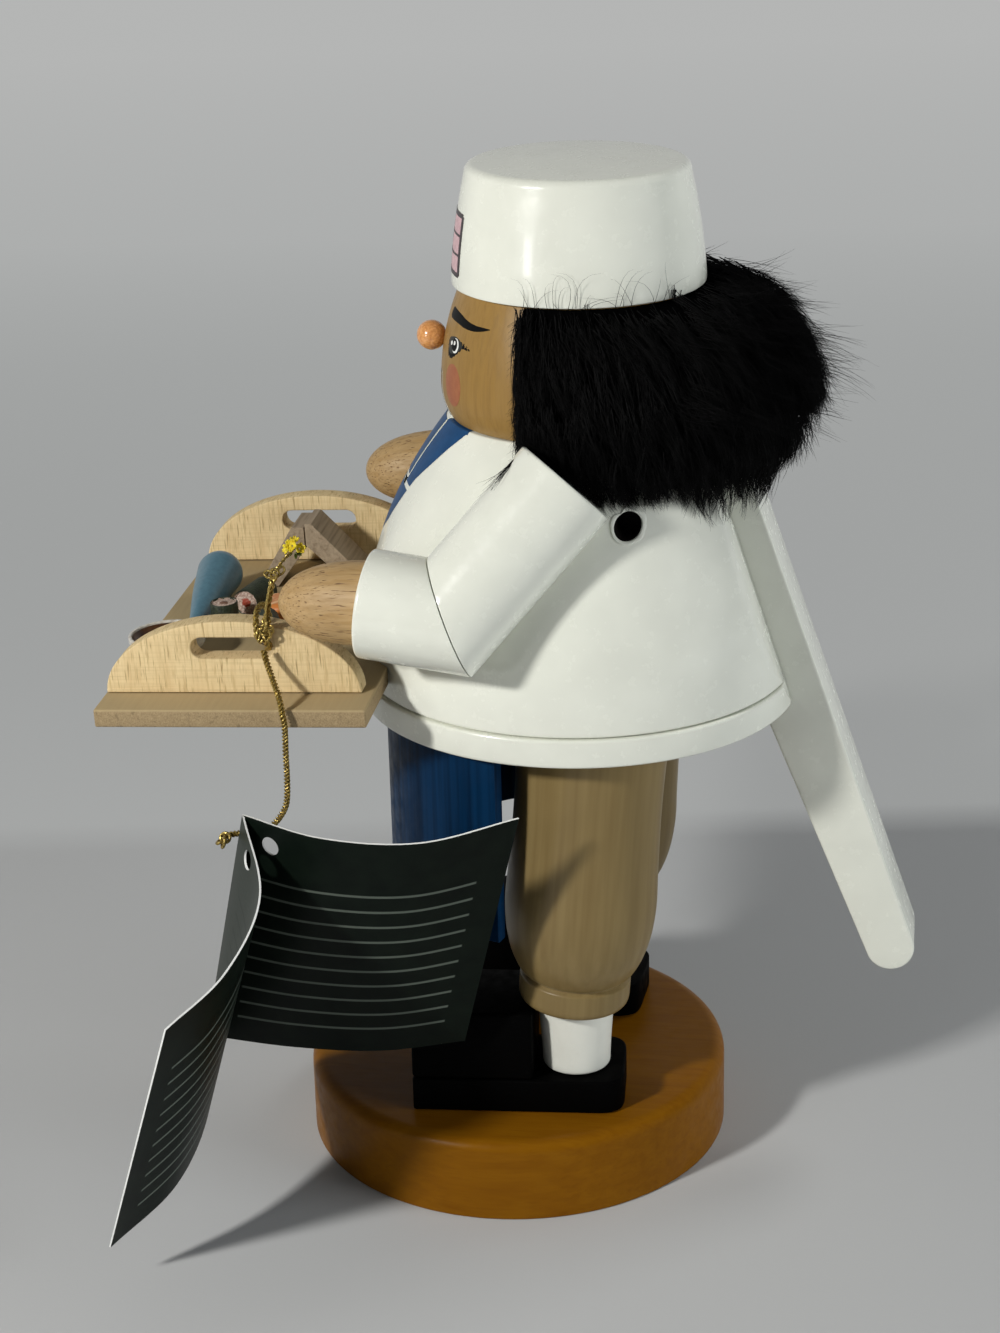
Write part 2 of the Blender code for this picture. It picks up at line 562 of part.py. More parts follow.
def make_body(hip_bores):
    """The hem disc, the bell of the tunic and the apron, with the slot, the planed back and the bores."""
    slot, pin_bore = make_lever()
    back = half_space("planed_back", (0, BODY_Y + BACK_DEPTH, HEM_TOP), (0, cos(BACK_LEAN), sin(BACK_LEAN)))
    place = (0, BODY_Y, 0)
    e = HEM_EDGE
    hem = turned(
        "hem_disc",
        [(0, HEM_TOP), (HEM_R - e, HEM_TOP), (HEM_R, HEM_TOP - e),
         (HEM_R, HEM_BOTTOM + e), (HEM_R - e, HEM_BOTTOM), (0, HEM_BOTTOM)],
        WHITE, place,
    )
    tunic = turned("tunic", tunic_profile(), WHITE, place)
    for piece in (hem, tunic):
        boolean(piece, back)
        boolean(piece, slot)
        for bore in hip_bores:
            boolean(piece, bore)
    boolean(tunic, pin_bore)

    sheet = bpy.data.meshes.new("apron")
    apron_top = HEM_BOTTOM - SEAT
    sheet.from_pydata([(APRON_R, 0, apron_top), (APRON_R, 0, apron_top - APRON_H)], [(0, 1)], [])
    apron = add("apron", sheet, NAVY, smooth=False)
    apron.location = place
    apron.rotation_euler = (0, 0, -pi / 2 - APRON_SPAN / 2)
    bend = apron.modifiers.new("turn", "SCREW")
    bend.angle = APRON_SPAN
    bend.steps = bend.render_steps = 28
    bend.use_smooth_shade = True
    wall = apron.modifiers.new("wall", "SOLIDIFY")
    wall.thickness = APRON_WALL
    wall.offset = -1
    return tunic, slot


def make_head(tunic, slot):
    """Head, cap and nose, with their dowels."""
    place = (0, HEAD_Y, SEAT)
    head = turned("head", head_profile(), SKIN, place)
    cap = turned("cap", cap_profile(), WHITE, place)
    mouth = plate(
        "mouth_slot",
        [(-0.06, CHIN - 0.02), (-0.06, JAW_TOP_Z + LEVER_GAP),
         (JAW_FRONT_Y + JAW_DEPTH + 2 * LEVER_GAP, JAW_TOP_Z + LEVER_GAP),
         (PIVOT_Y - 0.0080, PIVOT_Z + HUB_R + 0.0020), (PIVOT_Y - 0.0080, CHIN - 0.02)],
        LEVER_GROWN, None,
    )
    boolean(head, mouth)

    nose_z = CHIN + NOSE_Z
    stand = head_radius(nose_z) + SEAT
    ball_y = HEAD_Y - stand - NOSE_R + 0.0005
    flat = sqrt(NOSE_R**2 - (NOSE_R - 0.0005) ** 2)
    ball = [(NOSE_R * sin(a), NOSE_R * cos(a)) for a in [pi * k / 9 for k in range(8)]]
    turned(
        "nose",
        [*ball, (flat, -NOSE_R + 0.0005), (NOSE_PEG_R, -NOSE_R + 0.0005), (NOSE_PEG_R, -NOSE_R - NOSE_PEG),
         (0, -NOSE_R - NOSE_PEG)],
        NOSE, (0, ball_y, nose_z), SMALL, (0, -1, 0),
    )
    boolean(head, peg_hole("nose", (0, ball_y, nose_z), (0, ball_y + NOSE_R + NOSE_PEG, nose_z), NOSE_PEG_R))

    for side, word in ((1, "left"), (-1, "right")):
        low = (NECK_DOWEL_X * side, HEAD_Y, CHIN - DOWEL_DEPTH)
        high = (NECK_DOWEL_X * side, HEAD_Y, CHIN + DOWEL_DEPTH)
        rod(word + "_neck_dowel", DOWEL_R, low, high, PEG_WOOD)
        bore = peg_hole(word + "_neck", low, high)
        boolean(head, bore)
        boolean(tunic, bore)
    low, high = (0, HEAD_Y, CROWN - DOWEL_DEPTH), (0, HEAD_Y, CROWN + DOWEL_DEPTH)
    rod("cap_dowel", DOWEL_R, low, high, PEG_WOOD)
    bore = peg_hole("cap", low, high)
    boolean(head, bore)
    boolean(cap, bore)


def arm_directions(side):
    """The left or right arm's joints and its mitre's normal, which points up the arm."""
    shoulder, elbow, wrist = (mirrored(p, side) for p in (SHOULDER, ELBOW, WRIST))
    mitre = ((shoulder - elbow).normalized() - (wrist - elbow).normalized()).normalized()
    return shoulder, elbow, wrist, mitre


def hand_profile(length, grow=0.0, over=0.0):
    """The hand's egg from its tip back into the cuff, and its tenon."""
    egg = [(HAND_R * sqrt(1 - t**2.4) + grow, t * length) for t in (1.0, 0.97, 0.90, 0.78, 0.60, 0.35)]
    egg[0] = (0, length + over)
    seat = -HAND_SEAT - over
    return [
        *egg, (HAND_R + grow, seat + 0.0006), (HAND_R - 0.0006 + grow, seat), (TENON_R + grow, seat),
        (TENON_R + grow, -TENON - over), (0, -TENON - over),
    ]


def make_arm(side, word, tunic, handle_cutter):
    """Upper arm, forearm and hand."""
    shoulder, elbow, wrist, mitre = arm_directions(side)
    fingers = mirrored(FINGERS, side)
    body = turned("saddle_" + word, tunic_profile(SEAT, SEAT), None, (0, BODY_Y, 0))

    reach = (elbow - shoulder).normalized() * ARM_R * 1.2
    upper = rod(word + "_upper_arm", ARM_R, shoulder, elbow + reach, WHITE, MIDDLE)
    bevel(upper, ARM_EDGE, 1)
    boolean(upper, half_space("mitre_up_" + word, elbow + mitre * SEAT / 2, -mitre))
    boolean(upper, body)

    reach = (elbow - wrist).normalized() * ARM_R * 1.2
    fore = rod(word + "_forearm", ARM_R, elbow + reach, wrist, WHITE, MIDDLE)
    bevel(fore, ARM_EDGE, 1)
    boolean(fore, half_space("mitre_down_" + word, elbow - mitre * SEAT / 2, mitre))
    along = (fingers - wrist).normalized()
    length = (fingers - wrist).length
    boolean(fore, turned("socket_" + word, hand_profile(length, PEG_GAP, SEAT), None, wrist, MIDDLE, along))
    boolean(fore, body)
    hand = turned(word + "_hand", hand_profile(length), BEECH, wrist, MIDDLE, along)
    boolean(hand, handle_cutter)

    peg = shoulder + (elbow - shoulder).normalized() * SHOULDER_DOWEL_DROP
    inner, outer = (Vector((x * side, peg.y, peg.z)) for x in (SHOULDER_DOWEL_IN, SHOULDER_DOWEL_OUT))
    rod(word + "_shoulder_dowel", DOWEL_R, inner, outer, PEG_WOOD)
    bore = peg_hole(word + "_shoulder", inner, outer)
    boolean(upper, bore)
    boolean(tunic, bore)


def arch_outline(grow=0.0):
    """The tray handle's half ellipse, in the tray's Y and Z."""
    points = []
    for k in range(25):
        a = pi * k / 24
        points.append((ARCH_Y - (ARCH_HALF + grow) * cos(a), SEAT + (ARCH_H - SEAT + grow) * sin(a)))
    return points


def make_tray():
    """Board and two handles on a tilted empty, and cutters the shape of each handle for the hands on them."""
    tray = bpy.data.objects.new("tray_frame", None)
    PARTS.objects.link(tray)
    tray.location = (0, TRAY_Y, TRAY_Z)
    tray.rotation_euler = (TRAY_TILT, 0, 0)
    board_size = (2 * BOARD_HALF, BOARD_DEPTH, BOARD_H)
    board = block("tray_board", board_size, (0, -BOARD_DEPTH / 2, -BOARD_H / 2), SPRUCE)
    board.parent = tray
    belly = [(0, 0.19), (TUNIC_FOOT_R + SEAT, 0.19), (TUNIC_FOOT_R + SEAT, 0.12), (0, 0.12)]
    boolean(board, turned("belly_cut", belly, None, (0, BODY_Y, 0)))
    bevel(board, 0.0004, 1)

    cutters = {}
    for side, word in ((1, "left"), (-1, "right")):
        middle = (HANDLE_X - HANDLE_WALL / 2) * side
        handle = plate(word + "_tray_handle", arch_outline(), HANDLE_WALL, SPRUCE)
        slot = plate("slot_" + word, stadium(), HANDLE_WALL * 2, None)
        seat = plate("seat_" + word, arch_outline(SEAT), HANDLE_WALL + 2 * SEAT, None)
        for piece in (handle, slot, seat):
            piece.matrix_world = Matrix.Translation((middle, 0, 0)) @ piece.matrix_world
            piece.parent = tray
        boolean(handle, slot)
        cutters[side] = seat
    return tray, cutters


def stadium():
    """The finger slot's outline in the tray's Y and Z."""
    run = SLOT_HALF - SLOT_R
    return [
        *arc((SLOT_Y + run, SLOT_Z), SLOT_R, -pi / 2, pi / 2, 6),
        *arc((SLOT_Y - run, SLOT_Z), SLOT_R, pi / 2, 3 * pi / 2, 6),
    ]


def make_meal(tray):
    """The dish, fish, rolls and slats on the tray."""
    brim = DISH_R - DISH_WALL
    dish = turned(
        "sauce_dish",
        [(0, DISH_H - DISH_RECESS), (brim - 0.0002, DISH_H - DISH_RECESS), (brim, DISH_H), (DISH_R, DISH_H),
         (DISH_R - 0.0002, 0.6 * DISH_H), (DISH_FOOT_R, SEAT), (0, SEAT)],
        WHITE, DISH_PLACE, MIDDLE,
    )
    taper = FISH_R - FISH_TAIL_R
    body = [(FISH_R * sin(a), FISH_R * cos(a)) for a in [pi * k / 12 for k in range(6)]]
    tail = [(FISH_TAIL_R + taper * 0.62, -FISH_LENGTH * 0.42), (FISH_TAIL_R * 1.3, -FISH_LENGTH * 0.85)]
    fish = turned(
        "fish", [*body, (FISH_R, 0), *tail, (FISH_TAIL_R, -FISH_LENGTH), (0, -FISH_LENGTH - FISH_TAIL_R)],
        FISH_BLUE, (FISH_X, FISH_Y, FISH_R + SEAT), SMALL, (-1, 0, taper / FISH_LENGTH),
    )
    pieces = [dish, fish]
    for name, place, along, length in ROLLS:
        r, h, e = ROLL_R, length / 2, ROLL_EDGE
        centre = (*place, SEAT + (h if along[2] else r))
        outline = [(0, h), (r - e, h), (r, h - e), (r, e - h), (r - e, -h), (0, -h)]
        pieces.append(turned(name, outline, SEAWEED, centre, SMALL, along))
    salmon = block("salmon_piece", SALMON_SIZE, (*SALMON_PLACE, SALMON_SIZE[2] / 2 + SEAT), NOSE)
    bevel(salmon, SALMON_EDGE, 2)
    pieces.append(salmon)
    for name, outline in (("slat_steep", STEEP_SLAT), ("slat_leaning", LEANING_SLAT)):
        slat = plate(name, outline, SLAT_WIDTH, SPRUCE)
        slat.matrix_world = Matrix.Translation((SLAT_X, 0, 0)) @ slat.matrix_world
        pieces.append(slat)
    for piece in pieces:
        piece.parent = tray


def make_hair(tunic_cut_grow):
    """The fur wig's space: a full round form set back on the head, cut clear of all that it lies against."""
    side = [(r, CHIN + z) for z, r in HAIR_PROFILE]
    profile = [(0, side[0][1]), *side, (0, side[-1][1])]
    hair = turned("hair", profile, FUR, (0, HEAD_Y + HAIR_BACK, 0), HAIR_STEPS)
    boolean(hair, half_space("hair_front", (0, HAIR_FRONT, CHIN), -Y))
    grow = HAIR_OVER
    boolean(hair, turned("hair_head", head_profile(grow, 0.002), None, (0, HEAD_Y, SEAT)))
    cap_way = [*cap_profile(grow)[:-1], (CAP_FOOT_R + grow, CAP_FOOT - grow), (0, CAP_FOOT - grow)]
    boolean(hair, turned("hair_cap", cap_way, None, (0, HEAD_Y, SEAT)))
    boolean(hair, turned("hair_body", tunic_profile(tunic_cut_grow, 0.0004), None, (0, BODY_Y, 0)))
    for side, word in ((1, "left"), (-1, "right")):
        shoulder, elbow, _, _ = arm_directions(side)
        up = (shoulder - elbow).normalized()
        boolean(hair, rod("hair_arm_" + word, ARM_R + grow, shoulder + up * grow, elbow, None, MIDDLE))
    lever_way = (LEVER_GROWN + 0.001, 0.09, 0.06)
    boolean(hair, block("hair_lever", lever_way, (0, 0.075, CHIN + 0.0012 - lever_way[2] / 2), None))


def card_panel(name, top, foot, hole, through):
    """A bent card between its top and foot curves, with a punched hole; it starts a little off the fold."""
    columns = 12
    upper, lower = (smooth_line(run, columns // 3) for run in (top, foot))
    mesh = bpy.data.meshes.new(name)
    work = bmesh.new()
    rows = 4
    bmesh.ops.create_grid(work, x_segments=columns, y_segments=rows, size=1.0)
    for vert in work.verts:
        i = round((vert.co.x + 1) / 2 * columns)
        t = (1 - vert.co.y) / 2
        spot = upper[i].lerp(lower[i], t)
        if i == 0:
            spot = spot.lerp(upper[1].lerp(lower[1], t), CARD_START)
        vert.co = spot
    work.to_mesh(mesh)
    work.free()
    panel = add(name, mesh, CARD)
    wall = panel.modifiers.new("wall", "SOLIDIFY")
    wall.thickness = CARD_WALL
    wall.offset = 0
    along = Vector(through).normalized() * 0.004
    boolean(panel, rod(name + "_hole", CARD_HOLE_R, Vector(hole) - along, Vector(hole) + along, None))


def make_tag():
    """The cord round the tray handle's bar and down to the folded card, and the flower tied in it."""
    tube("bar_cord", BAR_ROUTE, CORD_R, GOLD, per_span=2)
    tube("tag_cord", TAG_ROUTE, CORD_R, GOLD, per_span=2)
    tube("flower_sprig", FLOWER_ROUTE, 0.0006, YELLOW, per_span=2, swell=(0.8, 1.0, 2.2, 3.2))
    card_panel("card_back_panel", BACK_PANEL_TOP, BACK_PANEL_FOOT, BACK_HOLE, (1, -0.35, 0.1))
    card_panel("card_front_panel", FRONT_PANEL_TOP, FRONT_PANEL_FOOT, FRONT_HOLE, (-0.3, 1, 0.3))


make_base()
hip_bores = [make_foot(1, "left"), make_foot(-1, "right")]
tunic, slot = make_body(hip_bores)
make_head(tunic, slot)
tray, seats = make_tray()
for side, word in ((1, "left"), (-1, "right")):
    make_arm(side, word, tunic, seats[side])
make_meal(tray)
make_hair(HAIR_OVER)
make_tag()
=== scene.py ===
"""Looks of the wooden nutcracker figure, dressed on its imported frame. Metres, +Z up, the figure faces -Y."""

from math import cos, pi, radians, sin, sqrt, tan

import bmesh
import bpy
import numpy as np
from mathutils import Matrix, Vector
from mathutils.kdtree import KDTree


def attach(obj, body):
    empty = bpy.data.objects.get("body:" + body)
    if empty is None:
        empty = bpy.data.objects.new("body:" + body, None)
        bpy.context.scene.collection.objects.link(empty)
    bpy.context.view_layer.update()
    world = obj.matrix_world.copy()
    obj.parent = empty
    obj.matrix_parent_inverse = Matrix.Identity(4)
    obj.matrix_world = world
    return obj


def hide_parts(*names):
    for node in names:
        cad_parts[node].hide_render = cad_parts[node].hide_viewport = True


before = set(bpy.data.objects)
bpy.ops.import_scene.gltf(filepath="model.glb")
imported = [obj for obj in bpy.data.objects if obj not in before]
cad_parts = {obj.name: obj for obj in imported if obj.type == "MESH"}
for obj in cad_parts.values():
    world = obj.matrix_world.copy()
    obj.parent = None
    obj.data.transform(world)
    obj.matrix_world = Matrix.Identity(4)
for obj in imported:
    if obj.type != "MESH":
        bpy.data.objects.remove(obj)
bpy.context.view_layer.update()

dice = np.random.default_rng(7)

# Camera, fitted to the photograph's frame of 1000 x 1333
FOCAL_PX = 2655.53
FRAME_HEIGHT_PX = 1333
SENSOR = 36.0
PITCH, ROLL, HEADING = 0.37395, 0.02505, 0.16031
CAMERA_PLACE = Vector((0.6745, 0.1064, 0.4077))

# Lamps: azimuth from the figure's front towards its left, elevation, distance, size, power and colour
LAMP_AIM = Vector((0, 0, 0.15))
SKY, SKY_COLOUR = 0.095, (0.93, 0.97, 1.0, 1)
LAMPS = (
    ("key", 51, 27, 0.90, 0.075, 6.2, (1.0, 0.985, 0.95)),
    ("window", 52, 8, 0.90, 0.12, 0.50, (1.0, 1.0, 1.0)),
    ("side", 166, 8, 1.6, 0.9, 14.0, (0.95, 0.98, 1.0)),
    ("far", -70, 12, 1.8, 1.2, 0.8, (1.0, 1.0, 1.0)),
    ("back", -142, 48, 1.2, 0.35, 2.6, (1.0, 1.0, 0.98)),
)
WALL_FOOT, WALL_FAR = 0.195, 2.1       # depth behind the figure's axis
FLOOR_R, FLOOR_TURN, WALL_CURVE = 2.6, 96, 0.5
# The backdrop's glow, brighter with depth: a painted fall of light on it.
WALL_LOW, WALL_MID, WALL_HIGH = (0.410, 0.420, 0.415), (0.400, 0.410, 0.406), (0.46, 0.465, 0.46)

# Sizes of the frame, repeated from its source
SEAT, PEG_GAP, LEVER_GAP = 0.0003, 0.0001, 0.0004
BASE_R, BASE_H, BASE_EDGE = 0.0600, 0.0237, 0.0040
SHOE_X, SHOE_Y, SHOE_TURN = 0.0292, 0.0053, radians(3.9)
SOLE_LENGTH, SOLE_WIDTH, SOLE_H, SOLE_CORNER = 0.0585, 0.0270, 0.0100, 0.0070
TOE_LENGTH, TOE_H, SHOE_EDGE = 0.0335, 0.0207, 0.0011
LEG_X, SOCK_Y, LEG_FOOT_Y, LEG_LEAN = 0.0290, 0.0210, 0.0204, radians(4.5)
SOCK_TOP_R, SOCK_FOOT_R = 0.0109, 0.0094
CUFF_R, CUFF_H = 0.0153, 0.0088
CALF_R, THIGH_R, KNEE_R = 0.0207, 0.0204, 0.0199
BODY_Y = 0.0193
HEM_R, HEM_H, HEM_BOTTOM = 0.0597, 0.0077, 0.1356
TUNIC_FOOT_R, TUNIC_NECK_R, TUNIC_H, TUNIC_FULLNESS = 0.0588, 0.0338, 0.0700, 2.2
BACK_LEAN, BACK_DEPTH, BELL_EDGE = radians(18.0), 0.0567, 0.0008
APRON_R, APRON_WALL, APRON_H, APRON_SPAN = 0.0532, 0.0040, 0.0550, radians(145)
HEAD_Y, HEAD_H, HEAD_R, HEAD_CHIN_R, HEAD_CROWN_R, HEAD_WIDEST = 0.0207, 0.0346, 0.0366, 0.0342, 0.0310, 0.0088
CAP_H, CAP_FOOT_R, CAP_RIM_R, CAP_SHOULDER, CAP_DOME = 0.0310, 0.0332, 0.0293, 0.0025, 0.0010
NOSE_R, NOSE_PEG_R, NOSE_PEG, NOSE_Z = 0.0040, 0.0015, 0.0060, 0.0197
HAIR_BACK, HAIR_FRONT = 0.0140, 0.0095
HAIR_PROFILE = (
    (0.0368, 0.0250), (0.0330, 0.0350), (0.0225, 0.0440), (0.0115, 0.0490), (0.0, 0.0470), (-0.0090, 0.0430),
    (-0.0135, 0.0370),
)
STRAY_TUFT = ((0.0470, 0.0110, 0.2150), (0.0560, 0.0085, 0.2128), (0.0540, 0.0040, 0.2075))
PIVOT_Y, PIVOT_Z, PIN_R, PIN_GAP, PIN_LENGTH = 0.0376, 0.1954, 0.0033, 0.0001, 0.0740
LEVER_WIDTH, JAW_OPEN = 0.0200, radians(22.0)
JAW_TOP_Z, JAW_FOOT_Z, JAW_FRONT_Y, JAW_DEPTH = 0.2260, 0.1970, -0.0158, 0.0200
HUB_R, HANDLE_LEAN = 0.0092, radians(18.6)
HANDLE_TOP, HANDLE_LENGTH = Vector((0.0683, 0.1976)), 0.1460
HANDLE_TOP_WIDTH, HANDLE_END_WIDTH = 0.0215, 0.0132
SHOULDER, ELBOW = Vector((0.0460, 0.0226, 0.2080)), Vector((0.0600, -0.0054, 0.1763))
WRIST, FINGERS = Vector((0.0585, -0.0270, 0.1788)), Vector((0.0560, -0.0500, 0.1775))
ARM_R, ARM_EDGE = 0.0140, 0.0014
HAND_R, TENON_R, TENON, HAND_SEAT = 0.0108, 0.0050, 0.0095, 0.0028
TRAY_Y, TRAY_Z, TRAY_TILT = -0.0267, 0.1530, radians(2.1)
BOARD_HALF, BOARD_DEPTH, BOARD_H = 0.0670, 0.0715, 0.0049
HANDLE_X, HANDLE_WALL = 0.0559, 0.0064
ARCH_HALF, ARCH_H, ARCH_Y = 0.0339, 0.0199, -0.0370
SLOT_HALF, SLOT_R, SLOT_Y, SLOT_Z = 0.0110, 0.0029, -0.0362, 0.0126
DISH_PLACE, DISH_R, DISH_H = Vector((0.0300, -0.0612, 0.0)), 0.0104, 0.0073
DISH_WALL, DISH_RECESS, DISH_FOOT_R = 0.0010, 0.0024, 0.0072
FISH_X, FISH_Y = -0.0190, -0.0590
FISH_R, FISH_TAIL_R, FISH_LENGTH = 0.0065, 0.0016, 0.0330
ROLL_R, ROLL_EDGE = 0.0038, 0.0004
ROLLS = (
    ("roll_near", (-0.0075, -0.0460), (1.0, -0.25, 0.0), 0.0120, (0.30, 0.045, 0.02)),
    ("roll_standing", (0.0085, -0.0508), (0.0, 0.0, 1.0), 0.0080, (0.16, 0.075, 0.045)),
    ("roll_back", (0.0170, -0.0368), (1.0, 0.35, 0.0), 0.0110, (0.30, 0.10, 0.02)),
)
SALMON_SIZE, SALMON_PLACE, SALMON_EDGE = Vector((0.0120, 0.0068, 0.0062)), (0.0014, -0.0372), 0.0018
SLAT_WIDTH, SLAT_X = 0.0140, -0.0330
STEEP_SLAT = ((-0.0352, 0.0180), (-0.0388, 0.0180), (-0.0500, SEAT), (-0.0440, SEAT), (-0.0352, 0.0115))
LEANING_SLAT = ((-0.0349, 0.0190), (-0.0349, 0.0125), (-0.0225, SEAT), (-0.0160, SEAT), (-0.0330, 0.0190))
CORD_R = 0.0009
BAR_ROUTE = (
    (0.0524, -0.0522, 0.1832), (0.0541, -0.0527, 0.1795), (0.0567, -0.0531, 0.1755), (0.0576, -0.0534, 0.1710),
    (0.0574, -0.0537, 0.1670), (0.0552, -0.0539, 0.1645), (0.0525, -0.0541, 0.1642), (0.0498, -0.0543, 0.1648),
    (0.0479, -0.0547, 0.1676), (0.0478, -0.0553, 0.1715), (0.0493, -0.0559, 0.1740), (0.0525, -0.0563, 0.1746),
    (0.0560, -0.0563, 0.1737), (0.0578, -0.0560, 0.1708), (0.0584, -0.0552, 0.1675),
)
TAG_ROUTE = (
    (0.0588, -0.0542, 0.1652), (0.0605, -0.0530, 0.1622), (0.0640, -0.0505, 0.1580), (0.0674, -0.0485, 0.1549),
    (0.0692, -0.0476, 0.1515), (0.0693, -0.0472, 0.1480), (0.0690, -0.0474, 0.1410), (0.0688, -0.0475, 0.1330),
    (0.0688, -0.0482, 0.1265), (0.0684, -0.0512, 0.1215), (0.0668, -0.0552, 0.1180), (0.0643, -0.0594, 0.1160),
    (0.0624, -0.0628, 0.1150), (0.0628, -0.0656, 0.1144), (0.0650, -0.0664, 0.1140),
)
FLOWER_ROUTE = (
    (0.0522, -0.0521, 0.1836), (0.0500, -0.0502, 0.1862), (0.0478, -0.0488, 0.1876), (0.0462, -0.0480, 0.1884),
)
BAR_KNOTS = (      # place, size, turns about X and Y
    ((0.0524, -0.0522, 0.1834), 0.0017, (0.4, 0.9)), ((0.0532, -0.0524, 0.1815), 0.0014, (1.5, 0.2)),
    ((0.0576, -0.0536, 0.1722), 0.0016, (0.9, 0.5)), ((0.0582, -0.0532, 0.1700), 0.0017, (0.2, 1.3)),
    ((0.0580, -0.0545, 0.1682), 0.0015, (1.2, 0.9)),
)
LOOSE_THREADS = (
    ((0.0524, -0.0520, 0.1838), (0.0520, -0.0545, 0.1850), (0.0524, -0.0562, 0.1838), (0.0530, -0.0548, 0.1822),
     (0.0528, -0.0526, 0.1826)),
    ((0.0524, -0.0520, 0.1838), (0.0512, -0.0500, 0.1856), (0.0500, -0.0486, 0.1862), (0.0500, -0.0478, 0.1846),
     (0.0512, -0.0490, 0.1832), (0.0526, -0.0514, 0.1826)),
    ((0.0577, -0.0540, 0.1712), (0.0582, -0.0562, 0.1700), (0.0584, -0.0580, 0.1680), (0.0585, -0.0576, 0.1668),
     (0.0584, -0.0556, 0.1684), (0.0580, -0.0538, 0.1696)),
    ((0.0577, -0.0534, 0.1716), (0.0587, -0.0518, 0.1722), (0.0590, -0.0504, 0.1716), (0.0588, -0.0508, 0.1704),
     (0.0582, -0.0528, 0.1700)),
    ((0.0528, -0.0524, 0.1826), (0.0552, -0.0529, 0.1790), (0.0580, -0.0532, 0.1752), (0.0586, -0.0534, 0.1715)),
)
LOOP_SHARE, LOOSE_R = 0.6, 0.00030
CARD_WALL = 0.0005
FOLD_TOP, FOLD_FOOT = (0.0665, -0.0603, 0.1223), (0.0486, -0.0792, 0.0463)
BACK_PANEL_TOP = (FOLD_TOP, (0.0762, -0.0375, 0.1212), (0.0767, -0.0120, 0.1213), (0.0674, 0.0121, 0.1251))
BACK_PANEL_FOOT = (FOLD_FOOT, (0.0508, -0.0542, 0.0455), (0.0510, -0.0300, 0.0460), (0.0489, -0.0070, 0.0493))
FRONT_PANEL_TOP = (FOLD_TOP, (0.0853, -0.0521, 0.1085), (0.1057, -0.0566, 0.0973), (0.1246, -0.0674, 0.0909))
FRONT_PANEL_FOOT = (FOLD_FOOT, (0.0653, -0.0756, 0.0329), (0.0856, -0.0800, 0.0216), (0.1034, -0.0938, 0.0126))
CARD_HOLE_R = 0.0026
BACK_HOLE, FRONT_HOLE = (0.0697, -0.0530, 0.1150), (0.0724, -0.0588, 0.1120)

SOLE_TOP = BASE_H + SOLE_H
TOE_BACK_Y = SHOE_Y - SOLE_LENGTH / 2 + TOE_LENGTH
LEG_FOOT = SOLE_TOP + TOE_H + SEAT - (LEG_FOOT_Y - TOE_BACK_Y) * tan(LEG_LEAN)
HEM_TOP = HEM_BOTTOM + HEM_H
TUNIC_FOOT = HEM_TOP + SEAT
CHIN = TUNIC_FOOT + TUNIC_H
CROWN = CHIN + HEAD_H
CAP_FOOT = CROWN + SEAT
LEVER_GROWN = LEVER_WIDTH + 2 * LEVER_GAP
BODY_SHIFT = HEAD_Y - BODY_Y
SIDES = ((1, "left"), (-1, "right"))

# Facets of the visible surfaces
TURN = 160
SMALL_TURN = 64

# Paint and fur
LACQUER = (0.81, 0.825, 0.735)
PAINT_LIFT, JAW_PAINT_LIFT = 0.00007, 0.00009
COLLAR_GAP = LEVER_GROWN / 2 + 0.0004
COLLAR_REACH = 0.0030       # how far the collar's colour runs in under the head
COLLAR_EDGE = (      # height, degrees from the front
    (0.1800, 3.0), (0.1820, 8.0), (0.1850, 12.5), (0.1905, 17.0),
    (0.1986, 23.0), (0.2086, 35.5), (0.2136, 43.0),
)
EMBLEM_FOOT, EMBLEM_TOP, EMBLEM_HALF = 0.2525, 0.2675, radians(28)
FUR_START, FUR_END, CAP_LIMIT = radians(52), radians(181), radians(118)
FUR_LAYERS = (
    # name, width, share of grey, tufts, hairs in each, lowest and highest root over the chin, first azimuth,
    # depth under the hull, length, flow outward, back and down, reach over the hull, spread of the tips
    ("inner", 0.00013, 0.00, 300, 14, -0.008, 0.0365, 0.0,
     (0.0045, 0.0080), (0.012, 0.019), (0.38, 0.28, 0.85), 0.001, 0.0011),
    ("outer", 0.00012, 0.04, 420, 12, -0.004, 0.0370, 0.0,
     (0.0010, 0.0040), (0.009, 0.017), (0.32, 0.30, 0.85), 0.006, 0.0008),
    ("fringe", 0.00011, 0.08, 240, 12, -0.0125, 0.002, 0.0,
     (0.0015, 0.0090), (0.008, 0.014), (0.20, 0.22, 0.95), 0.004, 0.0005),
    ("wisps", 0.00009, 0.06, 80, 8, 0.006, 0.0345, 1.9,
     (0.0010, 0.0040), (0.014, 0.028), (0.55, 0.85, 0.35), 0.016, 0.0018),
)
COVER_TUFTS, COVER_EACH = 330, 12
CAP_WISPS, FRONT_HAIRS, STRAY_HAIRS = 26, 420, 16


